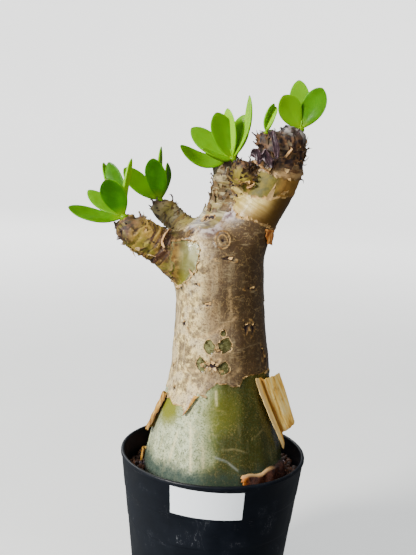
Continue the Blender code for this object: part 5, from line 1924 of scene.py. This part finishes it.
def granule_finish():
    """Damp reddish-brown granules, a few of them pinkish grey or pale."""
    made = Finish("granules_reddish", Roughness=0.62)
    tone, pick, _ = made.channels("grain")
    fine = made.noise(0.5, 5.0)
    colour = made.ramp(
        tone,
        (0.0, (0.018, 0.008, 0.005)),
        (0.45, (0.075, 0.028, 0.014)),
        (0.8, (0.17, 0.062, 0.028)),
        (1.0, (0.27, 0.13, 0.075)),
    )
    colour = made.over(
        colour,
        (made.level(pick, 0.9, 0.95), (0.3, 0.22, 0.24)),
        (made.level(fine, 0.5, 0.72, 0.0, 0.45), (0.3, 0.15, 0.08)),
    )
    return made.use(Base_Color=colour, Normal=made.bump(fine, 0.3, 0.8))


def pot_radius(height):
    """The outer radius of the pot's tapered wall."""
    share = height / (POT_HEIGHT - RIM_BEAD_HEIGHT)
    return BASE_RADIUS + (RIM_RADIUS - BEAD_STANDS_OUT - BASE_RADIUS) * share


def round_corner(radius, height, size, start, end, steps=5):
    """Points of a small round edge about a centre, from one angle to another in degrees."""
    turns = np.radians(np.linspace(start, end, steps))
    return [(radius + size * cos(t), height + size * sin(t)) for t in turns]


def pot_profile():
    """From the middle of the inside floor up, over the rim and down to the underside's middle."""
    below_bead = POT_HEIGHT - RIM_BEAD_HEIGHT
    inner_top = pot_radius(POT_HEIGHT) - POT_WALL
    inner_foot = pot_radius(POT_FLOOR) - POT_WALL
    line = [(1.0, POT_FLOOR), (inner_foot - 1.5, POT_FLOOR)]
    line += round_corner(inner_foot - 1.5, POT_FLOOR + 1.5, 1.5, -80.0, -5.0, 4)
    for share in (0.05, 0.5, 1.0):
        rise = blend(POT_FLOOR + 1.5, POT_HEIGHT - 0.6, share)
        line.append((blend(inner_foot, inner_top, share), rise))
    line += round_corner(inner_top + 0.6, POT_HEIGHT - 0.6, 0.6, 165.0, 100.0, 4)
    line += round_corner(RIM_RADIUS - 0.65, POT_HEIGHT - 0.65, 0.65, 85.0, 5.0, 5)
    line += round_corner(RIM_RADIUS - 0.35, below_bead + 0.35, 0.35, -5.0, -80.0, 4)
    line.append((pot_radius(below_bead) + 0.05, below_bead - 0.25))
    drop = 0.0
    for step in STEP_HEIGHTS:
        line.append((pot_radius(step + 1.2) - drop, step + 1.2))
        line.append((pot_radius(step + 0.9) - drop - 0.02, step + 0.9))
        drop += STEP_DEPTH
        line.append((pot_radius(step + 0.3) - drop + 0.02, step + 0.3))
        line.append((pot_radius(step) - drop, step))
    foot = BASE_RADIUS - drop
    line.append((pot_radius(2.0) - drop, 2.0))
    line += round_corner(foot - BASE_CHAMFER, BASE_CHAMFER, BASE_CHAMFER, 0.0, -85.0, 5)
    line += [(foot - 2.5, 0.0), (foot - 3.2, 0.35), (1.0, 0.35)]
    return line


def turned_shell(profile, sides):
    """A ring drawn out step by step along the profile, closed at both ends."""
    deselect()
    radius, height = profile[0]
    bpy.ops.mesh.primitive_circle_add(
        vertices=sides, radius=radius * MM, location=(0.0, 0.0, height * MM)
    )
    shell = bpy.context.object
    settle(shell)
    edit(shell)
    for (radius, height), (next_radius, next_height) in zip(profile, profile[1:]):
        rise = (0.0, 0.0, (next_height - height) * MM)
        bpy.ops.mesh.extrude_region_move(TRANSFORM_OT_translate={"value": rise})
        grow = next_radius / radius
        middle = (0.0, 0.0, next_height * MM)
        bpy.ops.transform.resize(value=(grow, grow, 1.0), center_override=middle)
    bpy.ops.mesh.select_all(action="SELECT")
    bpy.ops.mesh.fill_holes(sides=0)
    bpy.ops.mesh.select_all(action="SELECT")
    bpy.ops.mesh.normals_make_consistent(inside=False)
    leave_edit()
    return shell


def build_pot(settings):
    pot = turned_shell(pot_profile(), settings.pot_sides)
    for index in range(DRAIN_HOLES):
        turn = tau * index / DRAIN_HOLES
        place = Vector((cos(turn), sin(turn), 0.0)) * DRAIN_CIRCLE_RADIUS * MM
        deselect()
        bpy.ops.mesh.primitive_cylinder_add(
            vertices=32, radius=DRAIN_HOLE_RADIUS * MM, depth=6.0 * POT_FLOOR * MM, location=place
        )
        drill = bpy.context.object
        bore = pot.modifiers.new("Drain hole", "BOOLEAN")
        bore.operation = "DIFFERENCE"
        bore.object = drill
        apply_all(pot)
        bpy.data.objects.remove(drill)
    close_up(pot)
    smooth(pot, 32.0)
    return dress(pot, "pot_moulded", pot_finish(settings), "black_plastic", "pot")


def pot_finish(settings):
    """Black moulded plastic, faintly banded, with dust and fine pale scratches."""
    made = Finish("black_plastic_moulded", Roughness=0.4, Specular_IOR_Level=0.25)
    turning = made.noise(2.0, 5.0, stretch=(40.0, 40.0, 1.0))
    cloud = made.noise(14.0, 4.0)
    speck = made.noise(0.45, 3.0, shift=4.0)
    strokes = made.noise(2.2, 2.0, stretch=(1.0, 1.0, 7.0), twist=1.6, shift=9.0)
    other = made.noise(1.6, 2.0, stretch=(6.0, 6.0, 1.0), twist=2.0, shift=2.0)
    scratch = made.times(made.thin_lines(strokes, 0.006), made.level(cloud, 0.56, 0.64))
    fine_line = made.times(made.thin_lines(other, 0.004), made.level(cloud, 0.42, 0.36))
    marks = made.sums("MAXIMUM", scratch, made.times(fine_line, 0.5))
    colour = made.mix(
        made.level(cloud, 0.35, 0.7, 0.0, 0.6), settings.pot_colour, (0.005, 0.007, 0.012)
    )
    colour = made.over(
        colour,
        (made.level(speck, 0.68, 0.78, 0.0, 0.3), (0.12, 0.12, 0.13)),
        (made.times(marks, 0.55), (0.32, 0.33, 0.36)),
    )
    rough = made.level(cloud, 0.3, 0.7, 0.34, 0.48)
    normal = made.bump(turning, 0.1, 0.35, made.bump(speck, 0.03, 0.3))
    return made.use(Base_Color=colour, Roughness=rough, Normal=normal)


def label_place(u, v):
    """A point on the label: u round the pot, v down it."""
    angle = radians(blend(LABEL_FROM, LABEL_TO, u))
    height = blend(LABEL_HIGH, LABEL_LOW, v) + LABEL_TILT * (0.5 - u)
    radius = pot_radius(height) + 0.1
    return (radius * sin(angle), -radius * cos(angle), height)


def build_label():
    """A blank strip of white film that follows the pot's wall."""
    made = thin_sheet(label_place, 72, 14, 0.14, None, 0.0)
    finish = Finish("label_white_film", Roughness=0.33)
    dust = finish.noise(1.2, 5.0)
    wave = finish.noise(9.0, 2.0)
    colour = finish.mix(
        finish.level(dust, 0.55, 0.8, 0.0, 0.12), (0.9, 0.95, 1.0), (0.66, 0.68, 0.68)
    )
    finish.use(Base_Color=colour, Normal=finish.bump(wave, 0.3, 0.25))
    return dress(made, "label_blank", finish.material, "white_paper", "label")


# Stage


def build_stage(settings):
    deselect()
    bpy.ops.mesh.primitive_circle_add(
        vertices=96, radius=2.0, fill_type="NGON", location=(0.0, 0.0, -0.0002)
    )
    bowl = bpy.context.object
    settle(bowl)
    edit(bowl)
    for rise, grow in ((0.05, 1.12), (0.15, 1.1), (0.35, 1.07), (0.7, 1.04), (1.4, 1.02)):
        bpy.ops.mesh.select_all(action="SELECT")
        bpy.ops.mesh.region_to_loop()
        bpy.ops.mesh.extrude_edges_move(TRANSFORM_OT_translate={"value": (0.0, 0.0, rise)})
        bpy.ops.transform.resize(value=(grow, grow, 1.0), center_override=(0.0, 0.0, 0.0))
    leave_edit()
    smooth(bowl, 60.0)
    made = Finish("stage_pale", Roughness=0.9, Emission_Strength=settings.stage_glow)
    mottle = made.noise(180.0, 4.0)
    colour = made.mix(mottle, settings.stage_colour, (0.55, 0.55, 0.54))
    reach = made.add("ShaderNodeVectorMath", operation="LENGTH")
    made.feed(reach.inputs[0], made.object_place)
    glow = made.mix(
        made.level(reach.outputs["Value"], 0.25, 1.5), (0.29, 0.3, 0.3), (1.0, 1.0, 0.99)
    )
    bowl.name = "stage_floor"
    bowl.data.materials.append(made.use(Base_Color=colour, Emission_Color=glow))
    bowl.visible_diffuse = False
    bowl.visible_glossy = False
    soft_sky(settings.sky_strength)
    add_light("key", (-1.0, -0.85, 0.85), 0.42, settings.key_power)
    fill = add_light("fill", (1.0, -1.2, 0.7), 1.3, settings.fill_power)
    fill.visible_glossy = False
    add_light("back", (-0.7, 1.2, 1.0), 0.9, settings.back_power, WHITE)
    add_camera()


def soft_sky(strength):
    """Light from all round, brightest from the upper left front and weak from the right."""
    world = bpy.data.worlds.new("soft_sky")
    bpy.context.scene.world = world
    world.use_nodes = True
    tree = world.node_tree
    sky = tree.nodes["Background"]
    sky.inputs["Color"].default_value = SKY_COLOUR
    way = tree.nodes.new("ShaderNodeTexCoord")
    lean = tree.nodes.new("ShaderNodeVectorMath")
    lean.operation = "DOT_PRODUCT"
    lean.inputs[1].default_value = BRIGHT_SIDE
    share = tree.nodes.new("ShaderNodeMapRange")
    share.interpolation_type = "SMOOTHSTEP"
    share.inputs["From Min"].default_value = -0.5
    share.inputs["From Max"].default_value = 0.9
    share.inputs["To Min"].default_value = DIM_SHARE * strength
    share.inputs["To Max"].default_value = strength
    tree.links.new(way.outputs["Generated"], lean.inputs[0])
    tree.links.new(lean.outputs["Value"], share.inputs["Value"])
    tree.links.new(share.outputs["Result"], sky.inputs["Strength"])


def add_light(name, place, size, power, colour=WARM_WHITE):
    bpy.ops.object.light_add(type="AREA", location=place)
    lamp = bpy.context.object
    lamp.name = name
    lamp.data.shape = "DISK"
    lamp.data.size = size
    lamp.data.energy = power
    lamp.data.color = colour
    way = Vector(LIGHT_TARGET) - Vector(place)
    lamp.rotation_euler = way.to_track_quat("-Z", "Y").to_euler()
    return lamp


def add_camera():
    """The photograph's camera, pitched down and rolled a little."""
    pitch, roll = radians(CAMERA_PITCH), radians(CAMERA_ROLL)
    side = Vector((1.0, 0.0, 0.0))
    up = Vector((0.0, sin(pitch), cos(pitch)))
    ahead = Vector((0.0, cos(pitch), -sin(pitch)))
    right = side * cos(roll) + up * sin(roll)
    top = up * cos(roll) - side * sin(roll)
    turn = Matrix((right, top, -ahead)).transposed().to_4x4()
    bpy.ops.object.camera_add()
    camera = bpy.context.object
    camera.name = "photo_camera"
    camera.matrix_world = Matrix.Translation(Vector(CAMERA_PLACE) * MM) @ turn
    camera.data.lens = CAMERA_LENS
    camera.data.sensor_width = CAMERA_SENSOR
    camera.data.clip_start = 0.01
    camera.data.clip_end = 20.0
    bpy.context.scene.camera = camera


# Add-on


class PlantLook(bpy.types.PropertyGroup):
    """Sizes and colours of the plant."""

    skin_detail: FloatProperty(
        name="Skin detail",
        description="Spacing of the faces on the stem's skin",
        default=0.00067,
        min=0.0004,
        unit="LENGTH",
        precision=5,
    )
    bark_step: FloatProperty(
        name="Bark thickness",
        description="How far the bark stands over the bare skin at its torn edge",
        default=0.00035,
        min=0.0,
        unit="LENGTH",
        precision=5,
    )
    skin_green: FloatVectorProperty(
        name="Skin",
        description="Bare skin of the swollen base",
        default=(0.085, 0.11, 0.018),
        subtype="COLOR",
    )
    # Pale skin of the lit side: its whitish bloom together with painted sheen.
    skin_pale_and_painted_light: FloatVectorProperty(
        name="Pale skin",
        description="Bare skin on the sunny side",
        default=(0.5, 0.55, 0.36),
        subtype="COLOR",
    )
    # Olive skin of the right side, made darker as painted shade.
    skin_olive_and_painted_shade: FloatVectorProperty(
        name="Olive skin",
        description="Bare skin on the dark side",
        default=(0.02, 0.02, 0.0002),
        subtype="COLOR",
    )
    skin_yellow: FloatVectorProperty(
        name="Fresh skin",
        description="Fresh skin just under the bark's edge",
        default=(0.14, 0.145, 0.002),
        subtype="COLOR",
    )
    skin_wet: FloatVectorProperty(
        name="Damp skin",
        description="Dark band just over the soil",
        default=(0.018, 0.038, 0.038),
        subtype="COLOR",
    )
    bark_grey: FloatVectorProperty(
        name="Grey bark",
        description="Smooth bark of the trunk",
        default=(0.135, 0.098, 0.062),
        subtype="COLOR",
    )
    bark_tan: FloatVectorProperty(
        name="Tan bark",
        description="Warmer patches of the trunk's bark",
        default=(0.22, 0.15, 0.075),
        subtype="COLOR",
    )
    # Cream mottles of the lit side, partly painted light.
    bark_cream_and_painted_light: FloatVectorProperty(
        name="Cream bark",
        description="Pale mottles on the sunny side",
        default=(0.9, 0.7, 0.31),
        subtype="COLOR",
    )
    # Brown bark of the right side, partly painted shade.
    bark_brown_and_painted_shade: FloatVectorProperty(
        name="Brown bark",
        description="Bark on the dark side",
        default=(0.033, 0.017, 0.0055),
        subtype="COLOR",
    )
    leaf_deep: FloatVectorProperty(
        name="Deep leaf",
        description="Darkest green of the leaves",
        default=(0.018, 0.095, 0.0),
        subtype="COLOR",
    )
    leaf_green: FloatVectorProperty(
        name="Leaf",
        description="Main green of the leaves",
        default=(0.03, 0.145, 0.0),
        subtype="COLOR",
    )
    leaf_bright: FloatVectorProperty(
        name="Bright leaf",
        description="Yellow green of the brightest leaves",
        default=(0.24, 0.52, 0.0),
        subtype="COLOR",
    )


class PotLook(bpy.types.PropertyGroup):
    """Sizes and colours of the pot and what is in it."""

    pot_sides: IntProperty(name="Pot sides", description="Faces round the pot", default=160, min=24)
    granules: IntProperty(
        name="Granules", description="Loose granules on the soil", default=900, min=0
    )
    pot_colour: FloatVectorProperty(
        name="Plastic",
        description="The pot's plastic",
        default=(0.0015, 0.0025, 0.005),
        subtype="COLOR",
    )


class StageLook(bpy.types.PropertyGroup):
    """Floor and light."""

    stage_colour: FloatVectorProperty(
        name="Floor", description="Floor and backdrop", default=(0.7, 0.7, 0.68), subtype="COLOR"
    )
    stage_glow: FloatProperty(
        name="Floor glow", description="Evens out the floor and backdrop", default=1.75, min=0.0
    )
    sky_strength: FloatProperty(
        name="Sky", description="Light from all round", default=0.85, min=0.0
    )
    key_power: FloatProperty(
        name="Key light",
        description="Soft light from the upper left front",
        default=54.0,
        unit="POWER",
    )
    fill_power: FloatProperty(
        name="Fill light", description="Weak light from the right front", default=14.0, unit="POWER"
    )
    back_power: FloatProperty(
        name="Back light", description="Light from behind", default=10.0, unit="POWER"
    )


class TYLECODON_OT_stem(bpy.types.Operator):
    """Build the trunk and limbs with their bark and bare skin"""

    bl_idname = "tylecodon.stem"
    bl_label = "Stem"

    def execute(self, context):
        build_stem(context.scene.tylecodon_plant)
        return {"FINISHED"}


class TYLECODON_OT_flakes(bpy.types.Operator):
    """Add torn flakes, limb scales, strips and dried points to the stem"""

    bl_idname = "tylecodon.flakes"
    bl_label = "Flakes and Points"

    def execute(self, context):
        tree = tree_of(bpy.data.objects["stem_skin"])
        finish = flake_finish()
        dress(build_edge_flakes(tree).piece("edge_flakes"), "bark_edge_flakes", finish, "bark")
        dress(build_limb_scales(tree).piece("limb_scales"), "limb_scales", finish, "bark")
        build_strips(tree)
        build_points(tree)
        return {"FINISHED"}


class TYLECODON_OT_sheets(bpy.types.Operator):
    """Build the peeling bark and the two dried leaves"""

    bl_idname = "tylecodon.sheets"
    bl_label = "Peeling Bark"

    def execute(self, context):
        tree = tree_of(bpy.data.objects["stem_skin"])
        build_bark_sheets(tree)
        build_dried_leaves(tree)
        return {"FINISHED"}


class TYLECODON_OT_leaves(bpy.types.Operator):
    """Build the five heads of leaves"""

    bl_idname = "tylecodon.leaves"
    bl_label = "Leaves"

    def execute(self, context):
        build_rosettes(context.scene.tylecodon_plant)
        return {"FINISHED"}


class TYLECODON_OT_soil(bpy.types.Operator):
    """Finish the soil and strew granules over it"""

    bl_idname = "tylecodon.soil"
    bl_label = "Soil"

    def execute(self, context):
        build_soil(context.scene.tylecodon_pot)
        return {"FINISHED"}


class TYLECODON_OT_pot(bpy.types.Operator):
    """Build the nursery pot"""

    bl_idname = "tylecodon.pot"
    bl_label = "Pot"

    def execute(self, context):
        build_pot(context.scene.tylecodon_pot)
        return {"FINISHED"}


class TYLECODON_OT_label(bpy.types.Operator):
    """Build the blank label"""

    bl_idname = "tylecodon.label"
    bl_label = "Label"

    def execute(self, context):
        build_label()
        return {"FINISHED"}


class TYLECODON_OT_stage(bpy.types.Operator):
    """Set the floor, the lights and the camera"""

    bl_idname = "tylecodon.stage"
    bl_label = "Stage"

    def execute(self, context):
        build_stage(context.scene.tylecodon_stage)
        return {"FINISHED"}


OPERATORS = (
    TYLECODON_OT_stage,
    TYLECODON_OT_stem,
    TYLECODON_OT_flakes,
    TYLECODON_OT_sheets,
    TYLECODON_OT_leaves,
    TYLECODON_OT_soil,
    TYLECODON_OT_pot,
    TYLECODON_OT_label,
)


class TYLECODON_PT_panel(bpy.types.Panel):
    """Lists the plant's pieces"""

    bl_idname = "TYLECODON_PT_panel"
    bl_label = "Potted Tylecodon"
    bl_space_type = "VIEW_3D"
    bl_region_type = "UI"
    bl_category = "Tylecodon"

    def draw(self, context):
        for operator in OPERATORS:
            self.layout.operator(operator.bl_idname)
        for group in ("tylecodon_plant", "tylecodon_pot", "tylecodon_stage"):
            look = getattr(context.scene, group)
            box = self.layout.box()
            for name in look.bl_rna.properties.keys():
                if name not in ("rna_type", "name"):
                    box.prop(look, name)


CLASSES = (PlantLook, PotLook, StageLook, *OPERATORS, TYLECODON_PT_panel)


def register():
    for found in CLASSES:
        bpy.utils.register_class(found)
    bpy.types.Scene.tylecodon_plant = PointerProperty(type=PlantLook)
    bpy.types.Scene.tylecodon_pot = PointerProperty(type=PotLook)
    bpy.types.Scene.tylecodon_stage = PointerProperty(type=StageLook)


def unregister():
    del bpy.types.Scene.tylecodon_stage
    del bpy.types.Scene.tylecodon_pot
    del bpy.types.Scene.tylecodon_plant
    for found in reversed(CLASSES):
        bpy.utils.unregister_class(found)


def main():
    register()
    for operator in OPERATORS:
        family, name = operator.bl_idname.split(".")
        getattr(getattr(bpy.ops, family), name)()


if __name__ == "__main__":
    main()
